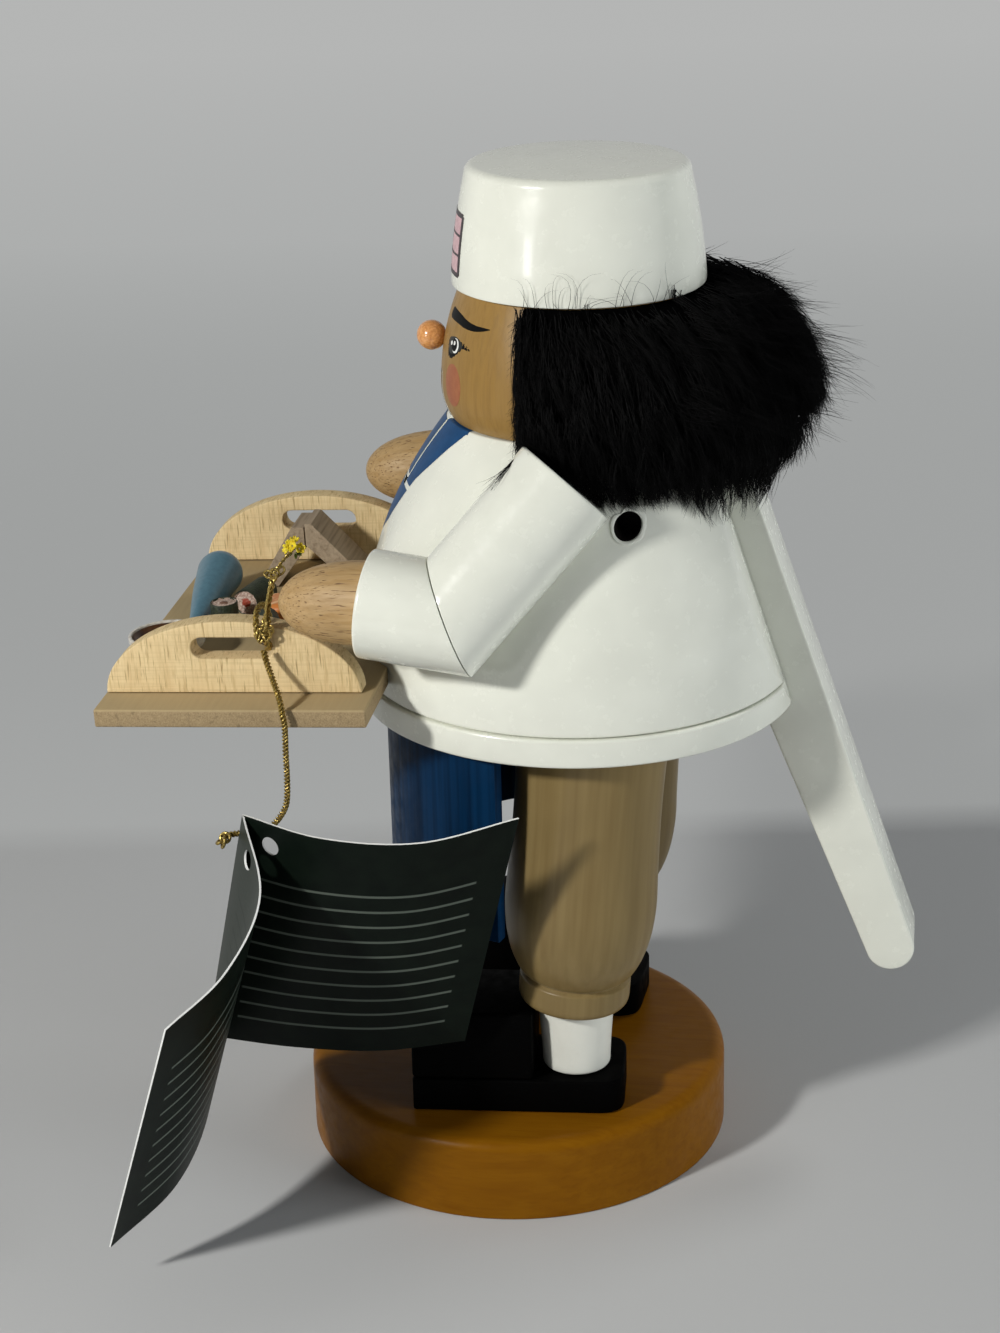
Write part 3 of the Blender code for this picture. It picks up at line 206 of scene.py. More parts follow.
class Look:
    """A Principled material with its procedural nodes in object space."""

    def __init__(self, name, colour, roughness, **values):
        self.material = bpy.data.materials.new(name)
        self.material.use_nodes = True
        self.tree = self.material.node_tree
        self.shader = self.tree.nodes["Principled BSDF"]
        self.set("Base Color", colour)
        self.set("Roughness", roughness)
        for socket, value in values.items():
            self.set(socket.replace("_", " "), value)

    def set(self, socket, value):
        """A value or a link on one of the shader's own sockets."""
        self.feed(self.shader.inputs[socket], value)

    def feed(self, socket, value):
        if isinstance(value, bpy.types.NodeSocket):
            self.tree.links.new(value, socket)
        elif socket.type == "RGBA":
            socket.default_value = (*value[:3], 1.0)
        else:
            socket.default_value = value

    def node(self, kind, inputs=(), **options):
        made = self.tree.nodes.new(kind)
        for key, value in options.items():
            setattr(made, key, value)
        for key, value in dict(inputs).items():
            self.feed(made.inputs[key], value)
        return made

    def place(self, scale, turn=(0, 0, 0)):
        """Object coordinates, turned and stretched."""
        source = self.node("ShaderNodeTexCoord").outputs["Object"]
        turned = self.node("ShaderNodeMapping", {"Vector": source, "Rotation": turn}).outputs[0]
        return self.node("ShaderNodeMapping", {"Vector": turned, "Scale": scale}).outputs[0]

    def noise(self, scale, size=1.0, detail=3.0, rough=0.5, warp=0.0, turn=(0, 0, 0)):
        """Noise whose cells are one over scale metres along each axis."""
        stretch = scale if hasattr(scale, "__len__") else (scale, scale, scale)
        inputs = {"Scale": size, "Detail": detail, "Roughness": rough, "Distortion": warp}
        made = self.node("ShaderNodeTexNoise", {"Vector": self.place(stretch, turn), **inputs})
        return made.outputs["Fac"]

    def cells(self, scale):
        """Distance to the nearest of scattered points, which lie about one over scale metres apart."""
        made = self.node("ShaderNodeTexVoronoi", {"Vector": self.place((scale, scale, scale)), "Scale": 1.0})
        return made.outputs["Distance"]

    def ramp(self, fac, *stops):
        """A smooth change between values or colours at given places."""
        made = self.node("ShaderNodeValToRGB", {"Fac": fac})
        elements = made.color_ramp.elements
        while len(elements) < len(stops):
            elements.new(0.5)
        for element, (where, value) in zip(elements, stops):
            element.position = where
            element.color = (*value[:3], 1.0) if hasattr(value, "__len__") else (value, value, value, 1.0)
        return made.outputs["Color"]

    def mix(self, fac, first, second):
        made = self.node("ShaderNodeMix", data_type="RGBA")
        for index, value in ((0, fac), (6, first), (7, second)):
            self.feed(made.inputs[index], value)
        return made.outputs[2]

    def math(self, operation, first, second=0.0):
        made = self.node("ShaderNodeMath", operation=operation)
        self.feed(made.inputs[0], first)
        self.feed(made.inputs[1], second)
        return made.outputs[0]

    def remap(self, value, low, high, to_low=0.0, to_high=1.0):
        limits = {"From Min": low, "From Max": high, "To Min": to_low, "To Max": to_high}
        return self.node("ShaderNodeMapRange", {"Value": value, **limits}).outputs[0]

    def axis(self, index):
        """One object coordinate."""
        split = self.node(
            "ShaderNodeSeparateXYZ", {"Vector": self.node("ShaderNodeTexCoord").outputs["Object"]},
        )
        return split.outputs[index]

    def bump(self, height, distance, under=None):
        """A relief of a given depth in metres, on top of another one."""
        made = self.node("ShaderNodeBump", {"Height": height, "Distance": distance})
        if under is not None:
            self.feed(made.inputs["Normal"], under)
        self.set("Normal", made.outputs[0])
        return made.outputs[0]

    def mottle(self, grain, low, high, first, second, depth=0.0, relief=None):
        """A colour between two tones by a noise's scale and detail, and a relief from it or another."""
        fac = self.noise(grain[0], detail=grain[1])
        self.set("Base Color", self.mix(self.remap(fac, low, high), first, second))
        if depth:
            self.bump(self.noise(relief[0], detail=relief[1]) if relief else fac, depth)


def gloss_paint(name, colour, gloss=0.22, brush=(30, 30, 1400), strokes=0.0000012, lumps=0.00005):
    """Thick glossy paint on wood: slow lumps, brush lines and dust in the film."""
    look = Look(name, colour, gloss, Coat_Weight=0.30, Coat_Roughness=0.06)
    broad = look.noise(90, detail=2)
    streak = look.noise(brush, detail=2)
    grime = look.noise(260, detail=5, rough=0.65)
    tone = look.mix(look.remap(broad, 0.3, 0.7), [c * 0.95 for c in colour], colour)
    tone = look.mix(look.remap(grime, 0.62, 0.80, 0, 0.18), tone, [c * 0.76 for c in colour])
    look.set("Base Color", tone)
    look.set("Roughness", look.remap(grime, 0.35, 0.70, gloss * 0.85, gloss * 1.4))
    slow = look.bump(look.noise(160, detail=2), lumps)
    look.bump(streak, strokes, under=slow)
    return look


def plain_wood(name, pale, dark, grain=(25, 25, 3), lines=(900, 900, 40), rough=0.6, warp=0.6, turn=(0, 0, 0)):
    """Bare or lightly finished wood: broad rings and fine fibres along one of the object's axes."""
    look = Look(name, pale, rough, Specular_IOR_Level=0.35)
    rings = look.noise(grain, 9.0, detail=2, warp=warp, turn=turn)
    fibres = look.noise(lines, detail=3, rough=0.6, turn=turn)
    tone = look.mix(look.ramp(rings, (0.30, 0.0), (0.55, 0.45), (0.70, 1.0)), pale, dark)
    look.tone = look.mix(look.remap(fibres, 0.45, 0.75, 0, 0.45), tone, [c * 0.72 for c in dark])
    look.set("Base Color", look.tone)
    look.set("Roughness", look.remap(fibres, 0.3, 0.7, rough * 0.85, min(1.0, rough * 1.2)))
    look.relief = look.bump(fibres, 0.00004)
    return look


def flecked(look, scale, low, high, colour, depth=0.00006):
    """Dark dashes let into a wood, as long and thin as the noise's scale makes them."""
    marks = look.remap(look.noise(scale, detail=2, rough=0.5), low, high)
    look.tone = look.mix(marks, look.tone, colour)
    look.set("Base Color", look.tone)
    look.relief = look.bump(look.math("SUBTRACT", 1.0, marks), depth, under=look.relief)
    return look


def pressed_board(name, pale, dark):
    """Fine pressed fibre board: a close speckle with a few larger flakes."""
    look = Look(name, pale, 0.8, Specular_IOR_Level=0.25)
    fine = look.noise(2600, detail=3, rough=0.7)
    flakes = look.noise(700, detail=3, rough=0.6)
    tone = look.mix(look.remap(fine, 0.35, 0.65), dark, pale)
    tone = look.mix(look.remap(flakes, 0.56, 0.70, 0, 0.5), tone, [c * 0.6 for c in dark])
    look.tone = look.mix(look.remap(flakes, 0.44, 0.30, 0, 0.4), tone, [min(1, c * 1.3) for c in pale])
    look.set("Base Color", look.tone)
    look.bump(fine, 0.00005)
    return look


def rounded(points, radius, steps=4, closed=False):
    """A line of points with its corners rounded, by one radius or by one for each point."""
    points = [Vector(p) for p in points]
    count = len(points)
    radii = radius if hasattr(radius, "__len__") else [radius] * count
    line = []
    for i, point in enumerate(points):
        if not closed and i in (0, count - 1) or radii[i] == 0:
            line.append(point)
            continue
        back, ahead = points[i - 1] - point, points[(i + 1) % count] - point
        bend = back.angle(ahead)
        reach = min(radii[i] / tan(bend / 2), back.length * 0.49, ahead.length * 0.49)
        start, end = point + back.normalized() * reach, point + ahead.normalized() * reach
        for k in range(steps + 1):
            t = k / steps
            line.append(start.lerp(point, t).lerp(point.lerp(end, t), t))
    return [tuple(p) for p in line]


def arc(centre, radius, start, end, count):
    return [
        (centre[0] + radius * cos(start + (end - start) * k / count),
         centre[1] + radius * sin(start + (end - start) * k / count))
        for k in range(count + 1)
    ]


def smooth_line(points, per_span):
    """Points along a smooth curve through the given ones."""
    points = [Vector(p) for p in points]
    padded = [2 * points[0] - points[1], *points, 2 * points[-1] - points[-2]]
    line = []
    for i in range(len(points) - 1):
        p0, p1, p2, p3 = padded[i:i + 4]
        for k in range(per_span):
            t = k / per_span
            line.append(
                0.5 * (2 * p1 + (p2 - p0) * t + (2 * p0 - 5 * p1 + 4 * p2 - p3) * t**2
                       + (3 * p1 - p0 - 3 * p2 + p3) * t**3)
            )
    line.append(points[-1])
    return line


def smooth_pairs(pairs, per_span):
    """A smooth curve through points in a plane."""
    return [(p.x, p.y) for p in smooth_line([(*pair, 0) for pair in pairs], per_span)]


def quads(rows, columns, start=0, across=False, along=False, flip=False):
    """Faces of a grid of points, which may close on itself across its columns and along its rows."""
    faces = []
    for i in range(rows if along else rows - 1):
        a, b = start + i * columns, start + (i + 1) % rows * columns
        for k in range(columns if across else columns - 1):
            n = (k + 1) % columns
            faces.append((a + k, b + k, b + n, a + n) if flip else (a + k, a + n, b + n, b + k))
    return faces


def linked(name, data):
    made = bpy.data.objects.new(name, data)
    bpy.context.scene.collection.objects.link(made)
    return made


def solid(name, verts, faces):
    """An object from faces, in the scene so that it can be cut."""
    mesh = bpy.data.meshes.new(name)
    mesh.from_pydata([tuple(v) for v in verts], [], [tuple(f) for f in faces])
    return linked(name, mesh)


def upright(direction):
    return Vector(direction).to_track_quat("Z", "Y").to_matrix().to_4x4()


def revolve(name, profile, steps=TURN, place=(0, 0, 0), along=(0, 0, 1)):
    """A solid turned about Z or another direction, from radius and height pairs from top to bottom."""
    verts, faces, rings = [], [], []
    for r, z in profile:
        count = 1 if r < 1e-7 else steps
        rings.append(range(len(verts), len(verts) + count))
        verts += [(r * cos(2 * pi * k / steps), r * sin(2 * pi * k / steps), z) for k in range(count)]
    for upper, lower in zip(rings, rings[1:]):
        for k in range(steps):
            n = (k + 1) % steps
            if len(upper) == 1:
                faces.append((upper[0], lower[k], lower[n]))
            elif len(lower) == 1:
                faces.append((upper[k], lower[0], upper[n]))
            else:
                faces.append((upper[k], lower[k], lower[n], upper[n]))
    made = solid(name, verts, faces)
    made.matrix_world = Matrix.Translation(place) @ upright(along)
    return made


def with_rims(line, edge, steps=4):
    """A profile with its upper and its lower rim rounded."""
    if not edge:
        return line
    return rounded(line, [edge if i in (1, len(line) - 2) else 0 for i in range(len(line))], steps)


def rod(name, radius, start, end, edge=0.0, steps=SMALL_TURN, spacing=None):
    """A round rod between two points, its ends rounded."""
    start, end = Vector(start), Vector(end)
    length = (end - start).length
    rows = 1 if spacing is None else max(1, round(length / spacing))
    wall = [(radius, length * k / rows) for k in range(rows - 1, 0, -1)]
    outline = with_rims([(0, length), (radius, length), *wall, (radius, 0), (0, 0)], edge, 6)
    return revolve(name, outline, steps, start, end - start)


def block(name, size, centre, edge=0.0, segments=3):
    """A box with rounded edges."""
    mesh = bpy.data.meshes.new(name)
    work = bmesh.new()
    bmesh.ops.create_cube(work, size=1.0)
    bmesh.ops.scale(work, vec=size, verts=work.verts)
    if edge:
        bmesh.ops.bevel(work, geom=work.edges[:], offset=edge, segments=segments, profile=0.5, affect="EDGES")
    work.to_mesh(mesh)
    work.free()
    made = linked(name, mesh)
    made.location = centre
    bpy.context.view_layer.update()
    return made


def slab(name, outlines, thickness, edge=0.00001, segments=0):
    """Flat outlines in Y and Z, the later ones holes, thickened along X with rounded rims."""
    curve = bpy.data.curves.new(name, "CURVE")
    curve.dimensions = "2D"
    curve.fill_mode = "BOTH"
    curve.extrude = thickness / 2 - edge
    curve.bevel_depth = edge
    curve.bevel_resolution = segments
    curve.offset = -edge
    for outline in outlines:
        spline = curve.splines.new("POLY")
        spline.points.add(len(outline) - 1)
        for point, (y, z) in zip(spline.points, outline):
            point.co = (y, z, 0, 1)
        spline.use_cyclic_u = True
    guide = linked(name + "_outline", curve)
    bpy.context.view_layer.update()
    mesh = bpy.data.meshes.new_from_object(guide.evaluated_get(bpy.context.evaluated_depsgraph_get()))
    bpy.data.objects.remove(guide, do_unlink=True)
    mesh.transform(Matrix(((0, 0, 1, 0), (1, 0, 0, 0), (0, 1, 0, 0), (0, 0, 0, 1))))
    work = bmesh.new()
    work.from_mesh(mesh)
    bmesh.ops.remove_doubles(work, verts=work.verts, dist=0.000005)
    work.to_mesh(mesh)
    work.free()
    return linked(name, mesh)


def half_space(point, normal):
    """A large cutter on the side of a plane that its normal points to."""
    normal = Vector(normal).normalized()
    reach = 0.16
    made = block("half_space", (reach, reach, reach), (0, 0, 0))
    made.matrix_world = Matrix.Translation(Vector(point) + normal * reach / 2) @ upright(normal)
    return made


def cut(target, *cutters, edge=0.0, segments=2):
    """One object cut by others, with the new edges rounded; the cutters go."""
    for cutter in cutters:
        modifier = target.modifiers.new("cut", "BOOLEAN")
        modifier.object = cutter
        modifier.solver = "EXACT"
    if edge:
        weld = target.modifiers.new("weld", "WELD")
        weld.merge_threshold = 0.00008
        soft = target.modifiers.new("edges", "BEVEL")
        soft.width = edge
        soft.segments = segments
        soft.limit_method = "ANGLE"
        soft.angle_limit = radians(32)
        soft.use_clamp_overlap = True
    bpy.context.view_layer.update()
    shape = bpy.data.meshes.new_from_object(target.evaluated_get(bpy.context.evaluated_depsgraph_get()))
    target.modifiers.clear()
    target.data = shape
    for cutter in cutters:
        bpy.data.objects.remove(cutter, do_unlink=True)
    return target


def dress(made, look, body, nodes, angle=38):
    """A finished piece: its material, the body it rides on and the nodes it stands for."""
    mesh = made.data
    mesh.materials.clear()
    for entry in look if hasattr(look, "__len__") else [look]:
        mesh.materials.append(entry.material)
    mesh.shade_smooth()
    mesh.set_sharp_from_angle(angle=radians(angle))
    bpy.context.view_layer.update()
    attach(made, body)
    if nodes:
        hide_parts(*nodes)
    return made


def mirrored(point, side):
    return Vector((point[0] * side, point[1], point[2]))


def tunic_radius(z, grow=0.0):
    t = np.clip((z - TUNIC_FOOT) / TUNIC_H, 0.0, 1.0)
    return TUNIC_NECK_R + (TUNIC_FOOT_R - TUNIC_NECK_R) * (1 - t**TUNIC_FULLNESS) + grow


def tunic_profile(grow=0.0, over=0.0, edge=0.0):
    """The bell's outline from the neck down."""
    rows = 40
    heights = [CHIN - TUNIC_H * (k / rows) ** 1.1 for k in range(rows + 1)]
    sides = [(tunic_radius(z, grow), z) for z in heights]
    top, foot = CHIN + over, TUNIC_FOOT - over
    return with_rims([(0, top), (sides[0][0], top), *sides[1:-1], (sides[-1][0], foot), (0, foot)], edge)


def crown_radius(z):
    """The head's radius above its widest place; the fur takes it for the whole head."""
    return HEAD_R - (HEAD_R - HEAD_CROWN_R) * ((z - CHIN - HEAD_WIDEST) / (HEAD_H - HEAD_WIDEST)) ** 2


def head_radius(z):
    below = CHIN + HEAD_WIDEST - z
    return HEAD_R - (HEAD_R - HEAD_CHIN_R) * (below / HEAD_WIDEST) ** 2 if below > 0 else crown_radius(z)


def head_profile(grow=0.0, over=0.0, edge=0.0):
    rows = 36
    heights = [CROWN - HEAD_H * k / rows for k in range(rows + 1)]
    sides = [(head_radius(z) + grow, z) for z in heights]
    top, foot = CROWN + over, CHIN - over
    return with_rims([(0, top), (sides[0][0], top), *sides[1:-1], (sides[-1][0], foot), (0, foot)], edge)


def cap_radius(z):
    t = np.clip((z - CAP_FOOT) / (CAP_H - CAP_SHOULDER), 0, 1)
    return CAP_FOOT_R - (CAP_FOOT_R - CAP_RIM_R) * t**1.6


def cap_profile():
    """The cap's outline: a drum that narrows upward to a rounded shoulder and a shallow dome."""
    rise, rows = CAP_H - CAP_SHOULDER, 16
    side = [(cap_radius(z), z) for z in [CAP_FOOT + rise * k / rows for k in range(rows, -1, -1)]]
    reach = CAP_RIM_R - CAP_SHOULDER
    shoulder = arc((reach, CAP_FOOT + rise), CAP_SHOULDER, pi / 2, 0, 8)
    dome = [(reach * k / 8, CAP_FOOT + CAP_H + CAP_DOME * (1 - (k / 8) ** 2)) for k in range(8)]
    foot = rounded([side[-2], side[-1], (CAP_FOOT_R - 0.001, CAP_FOOT), (0, CAP_FOOT)], [0, 0.0004, 0, 0], 3)
    return [*dome, *shoulder[:-1], *side[:-1], *foot[1:]]


def surface_point(radius, centre_y, azimuth, z, lift=0.0):
    """A point on a turned surface: azimuth runs from the front towards the left."""
    r = radius(z) + lift
    return Vector((r * sin(azimuth), centre_y - r * cos(azimuth), z))


def make_camera():
    """The camera at the photograph's angle."""
    right = Vector((-sin(HEADING), cos(HEADING), 0))
    ahead = Vector((-cos(HEADING) * cos(PITCH), -sin(HEADING) * cos(PITCH), -sin(PITCH)))
    up = Vector((-cos(HEADING) * sin(PITCH), -sin(HEADING) * sin(PITCH), cos(PITCH)))
    camera_right = right * cos(ROLL) - up * sin(ROLL)
    camera_up = right * sin(ROLL) + up * cos(ROLL)
    data = bpy.data.cameras.new("camera")
    data.sensor_fit = "VERTICAL"
    data.sensor_height = SENSOR
    data.lens = SENSOR * FOCAL_PX / FRAME_HEIGHT_PX
    data.clip_start, data.clip_end = 0.01, 20
    camera = linked("camera", data)
    turn = Matrix((camera_right, camera_up, -ahead)).transposed().to_4x4()
    camera.matrix_world = Matrix.Translation(CAMERA_PLACE) @ turn
    bpy.context.scene.camera = camera


def make_light():
    """Soft lamps and a pale sky; only two of the lamps show in glossy paint."""
    world = bpy.data.worlds.new("studio")
    world.use_nodes = True
    world.node_tree.nodes["Background"].inputs["Color"].default_value = SKY_COLOUR
    world.node_tree.nodes["Background"].inputs["Strength"].default_value = SKY
    bpy.context.scene.world = world
    for name, azimuth, elevation, distance, size, power, colour in LAMPS:
        lamp = bpy.data.lights.new(name, "AREA")
        lamp.shape = "SQUARE"
        lamp.size = size
        lamp.energy = power
        lamp.color = colour
        made = linked(name, lamp)
        made.visible_camera = False
        made.visible_glossy = name in ("key", "window")
        a, e = radians(azimuth), radians(elevation)
        made.location = LAMP_AIM + distance * Vector((sin(a) * cos(e), -cos(a) * cos(e), sin(e)))
        made.rotation_euler = (made.location - LAMP_AIM).to_track_quat("Z", "Y").to_euler()
    bpy.context.scene.view_settings.view_transform = "Standard"


def make_floor():
    """A pale floor that rises into a backdrop; far from the figure the camera sees a glow instead, which grows
    brighter with depth as a painted fall of light.
    """
    look = Look("floor_paper", (0.545, 0.552, 0.555), 0.9, Specular_IOR_Level=0.2)
    look.bump(look.noise(900, detail=4), 0.00003)
    depth = look.math("MULTIPLY", look.axis(0), -cos(HEADING))
    depth = look.math("ADD", depth, look.math("MULTIPLY", look.axis(1), -sin(HEADING)))
    rays = look.node("ShaderNodeLightPath").outputs
    seen = look.math("MAXIMUM", rays["Is Camera Ray"], rays["Is Glossy Ray"])
    seen = look.math("MAXIMUM", seen, rays["Is Transmission Ray"])
    far = look.remap(depth, WALL_FOOT - 0.012, WALL_FOOT + 0.012, 0.0, 0.6)
    far = look.math("ADD", far, look.remap(depth, 0.35, 1.2, 0.0, 0.4))
    tone = look.ramp(
        look.remap(depth, WALL_FOOT, WALL_FAR), (0.0, WALL_LOW), (0.35, WALL_MID), (1.0, WALL_HIGH),
    )
    glow = look.node("ShaderNodeEmission", {"Color": tone, "Strength": 1.0})
    both = look.node("ShaderNodeMixShader", {0: look.math("MULTIPLY", far, seen)})
    look.tree.links.new(look.shader.outputs[0], both.inputs[1])
    look.tree.links.new(glow.outputs[0], both.inputs[2])
    look.tree.links.new(both.outputs[0], look.tree.nodes["Material Output"].inputs["Surface"])

    rows = [(FLOOR_R * k / 12, 0.0) for k in range(1, 13)]
    rows += arc((FLOOR_R, WALL_CURVE), WALL_CURVE, -pi / 2, 0, 16)[1:]
    rows += [(FLOOR_R + WALL_CURVE, WALL_CURVE + 0.25 * k) for k in range(1, 8)]
    turns = [2 * pi * k / FLOOR_TURN for k in range(FLOOR_TURN)]
    verts = [(0, 0, 0)] + [(r * cos(a), r * sin(a), z) for r, z in rows for a in turns]
    faces = [(0, 1 + k, 1 + (k + 1) % FLOOR_TURN) for k in range(FLOOR_TURN)]
    floor = solid("floor", verts, faces + quads(len(rows), FLOOR_TURN, 1, across=True, flip=True))
    floor.data.materials.append(look.material)
    floor.data.shade_smooth()


def frames_along(points):
    """Points and two side vectors at each of them, turned as little as possible from point to point."""
    points = np.array([tuple(p) for p in points])
    tangents = np.gradient(points, axis=0)
    tangents /= np.linalg.norm(tangents, axis=1)[:, None]
    first = np.cross(tangents[0], (0.3, 0.5, 0.81))
    sides = [first / np.linalg.norm(first)]
    for t in tangents[1:]:
        side = sides[-1] - t * (sides[-1] @ t)
        sides.append(side / np.linalg.norm(side))
    sides = np.array(sides)
    return points, sides, np.cross(tangents, sides)


def twisted_cord(name, route, radius, pitch=0.0050, plies=3, corners=8, per_span=14, share=0.44):
    """A cord of twisted plies along a route, each ply a closed tube."""
    points, side, other = frames_along(smooth_line(route, per_span))
    run = np.concatenate([[0], np.cumsum(np.linalg.norm(np.diff(points, axis=0), axis=1))])
    verts, faces = [], []
    ply_r = radius * share
    rows = len(points)
    for ply in range(plies):
        turn = 2 * pi * (run / pitch + ply / plies)
        out = side * np.cos(turn)[:, None] + other * np.sin(turn)[:, None]
        across = -side * np.sin(turn)[:, None] + other * np.cos(turn)[:, None]
        centre = points + out * (radius - ply_r)
        start = len(verts)
        for i in range(rows):
            for a in [2 * pi * k / corners for k in range(corners)]:
                verts.append(centre[i] + ply_r * (out[i] * cos(a) + across[i] * sin(a)))
        last = start + (rows - 1) * corners
        faces += quads(rows, corners, start, across=True)
        faces += [tuple(reversed(range(start, start + corners))), tuple(range(last, last + corners))]
    return solid(name, verts, faces), [tuple(p) for p in points], float(run[-1])


def thread(name, points, radius, closed=False):
    """A smooth round thread through points, open with blunt ends or closed on itself."""
    points = np.array([tuple(p) for p in points])
    if closed:
        tangents = np.roll(points, -1, axis=0) - np.roll(points, 1, axis=0)
        tangents /= np.linalg.norm(tangents, axis=1)[:, None]
        side = np.cross(tangents, (0.0, 0.0, 1.0))
        side /= np.linalg.norm(side, axis=1)[:, None]
        other = np.cross(tangents, side)
    else:
        points, side, other = frames_along(points)
    count, corners = len(points), 8
    turns = [2 * pi * k / corners for k in range(corners)]
    verts = [points[i] + radius * (side[i] * cos(a) + other[i] * sin(a)) for i in range(count) for a in turns]
    faces = quads(count, corners, across=True, along=closed)
    if not closed:
        last = (count - 1) * corners
        faces += [tuple(reversed(range(corners))), tuple(range(last, last + corners))]
    return solid(name, verts, faces)


def knot(name, centre, size, turn, look, body, nodes):
    """A tight small knot: a thread that winds three times round and twice through itself."""
    line = []
    for t in [2 * pi * k / 120 for k in range(120)]:
        ring = 2 + cos(3 * t)
        line.append(Vector((ring * cos(2 * t), ring * sin(2 * t), sin(3 * t))) * size / 3)
    made = thread(name, line, size * 0.21, closed=True)
    turned = Matrix.Rotation(turn[0], 4, "X") @ Matrix.Rotation(turn[1], 4, "Y")
    made.matrix_world = Matrix.Translation(centre) @ turned
    return dress(made, look, body, nodes)


def make_cords():
    """The gold cord: its loop round the tray handle's bar with its knots, and the run down to the card."""
    gold = Look("gold_thread", (0.36, 0.25, 0.06), 0.36, Metallic=0.8)
    gold.mottle((2600, 2), 0.35, 0.65, (0.20, 0.13, 0.03), (0.58, 0.44, 0.14), 0.00010)
    bar, path, length = twisted_cord("bar_cord_twist", BAR_ROUTE, CORD_R)
    dress(bar, gold, "figure", ["bar_cord"])
    knots = [
        knot(f"bar_knot_{k}", Vector(place), size, turn, gold, "figure", [])
        for k, (place, size, turn) in enumerate(BAR_KNOTS)
    ]
    for k, points in enumerate(LOOSE_THREADS):
        start = Vector(points[0])
        share = LOOP_SHARE if k < len(LOOSE_THREADS) - 1 else 1.0
        points = [start + (Vector(p) - start) * share for p in points]
        loop = thread(f"loose_thread_{k}", smooth_line(points, 8), LOOSE_R)
        dress(loop, gold, "figure", [])
    tag, path, length = twisted_cord("tag_cord_twist", TAG_ROUTE, CORD_R, pitch=0.0030)
    dress(tag, gold, "tag", ["tag_cord"])
    fold = knot("fold_knot", Vector(TAG_ROUTE[-1]), 0.0021, (0.7, 0.4), gold, "tag", [])
    return gold


def blossom(name, centre, facing, radius, look, petals=5):
    """Cupped petals round an open middle."""
    verts, faces = [], []
    rows, columns = 5, 4
    for p in range(petals):
        faces += quads(rows + 1, columns + 1, len(verts), flip=True)
        turn = Matrix.Rotation(2 * pi * p / petals, 3, "Z")
        for u in [i / rows for i in range(rows + 1)]:
            half = radius * 0.48 * sin(pi * (0.12 + 0.80 * u)) ** 0.8
            for v in [2 * k / columns - 1 for k in range(columns + 1)]:
                bend = radius * (0.55 * u**2 + 0.20 * v**2 * u)
                verts.append(turn @ Vector((radius * (0.15 + 0.85 * u - 0.12 * v**2), half * v, bend)))
    made = solid(name, verts, faces)
    wall = made.modifiers.new("wall", "SOLIDIFY")
    wall.thickness = radius * 0.12
    made.matrix_world = Matrix.Translation(centre) @ upright(facing)
    return dress(made, look, "figure", ["flower_sprig"], 60)


def make_flower(gold):
    """The small yellow flowers on their gold wire."""
    yellow = Look("flower_yellow", (0.72, 0.60, 0.02), 0.55)
    yellow.mottle((900, 3), 0.35, 0.65, (0.80, 0.68, 0.03), (0.58, 0.42, 0.01), 0.00004, (1800, 3))
    green = Look("flower_green", (0.10, 0.17, 0.02), 0.6)
    green.mottle((900, 3), 0, 1, (0.06, 0.12, 0.01), (0.22, 0.26, 0.03), 0.00004, (1800, 3))
    stem, _, _ = twisted_cord(
        "flower_stem", FLOWER_ROUTE, 0.00055, 0.0030, plies=2, corners=6, per_span=8, share=0.5,
    )
    dress(stem, gold, "figure", ["flower_sprig"])
    head = Vector(FLOWER_ROUTE[-1])
    for k, (offset, facing, radius, look) in enumerate((
        ((0.0004, -0.0002, 0.0010), (0.9, -0.3, 0.5), 0.0017, yellow),
        ((0.0002, 0.0016, 0.0002), (0.7, 0.6, 0.5), 0.0014, yellow),
        ((0.0000, -0.0016, 0.0000), (0.7, -0.7, 0.2), 0.0013, yellow),
        ((-0.0006, 0.0002, 0.0020), (0.2, 0.1, 1.0), 0.0012, yellow),
        ((0.0002, 0.0008, -0.0012), (0.6, 0.5, -0.3), 0.0011, green),
        ((-0.0002, -0.0008, -0.0008), (0.5, -0.6, -0.4), 0.0011, green),
    )):
        blossom(f"blossom_{k}", head + Vector(offset), facing, radius, look, 5 if look is yellow else 3)


def make_base():
    """The round stand with its stained grain."""
    wood = Look("ochre_stain", (0.23, 0.085, 0.004), 0.34, Specular_IOR_Level=0.08)
    rings = wood.noise((60, 9, 60), 6.0, detail=3, warp=0.5)
    fibre = wood.noise((1100, 30, 1100), detail=3)
    tone = wood.mix(wood.remap(rings, 0.3, 0.72), (0.225, 0.090, 0.003), (0.190, 0.070, 0.002))
    tone = wood.mix(wood.remap(fibre, 0.50, 0.78, 0, 0.35), tone, (0.140, 0.045, 0.002))
    wood.set("Base Color", tone)
    wood.set("Roughness", wood.remap(wood.noise(300, detail=4), 0.3, 0.7, 0.28, 0.44))
    wood.bump(fibre, 0.00002)
    edge = rounded([(0, BASE_H), (BASE_R, BASE_H), (BASE_R, 0.0002), (BASE_R - 0.0008, 0), (0, 0)],
                   [0, BASE_EDGE, 0.0004, 0.0002, 0], 10)
    made = revolve("stand", [(0, BASE_H), *[(BASE_R * k / 10, BASE_H) for k in range(1, 9)], *edge[1:]])
    dress(made, wood, "figure", ["base"])


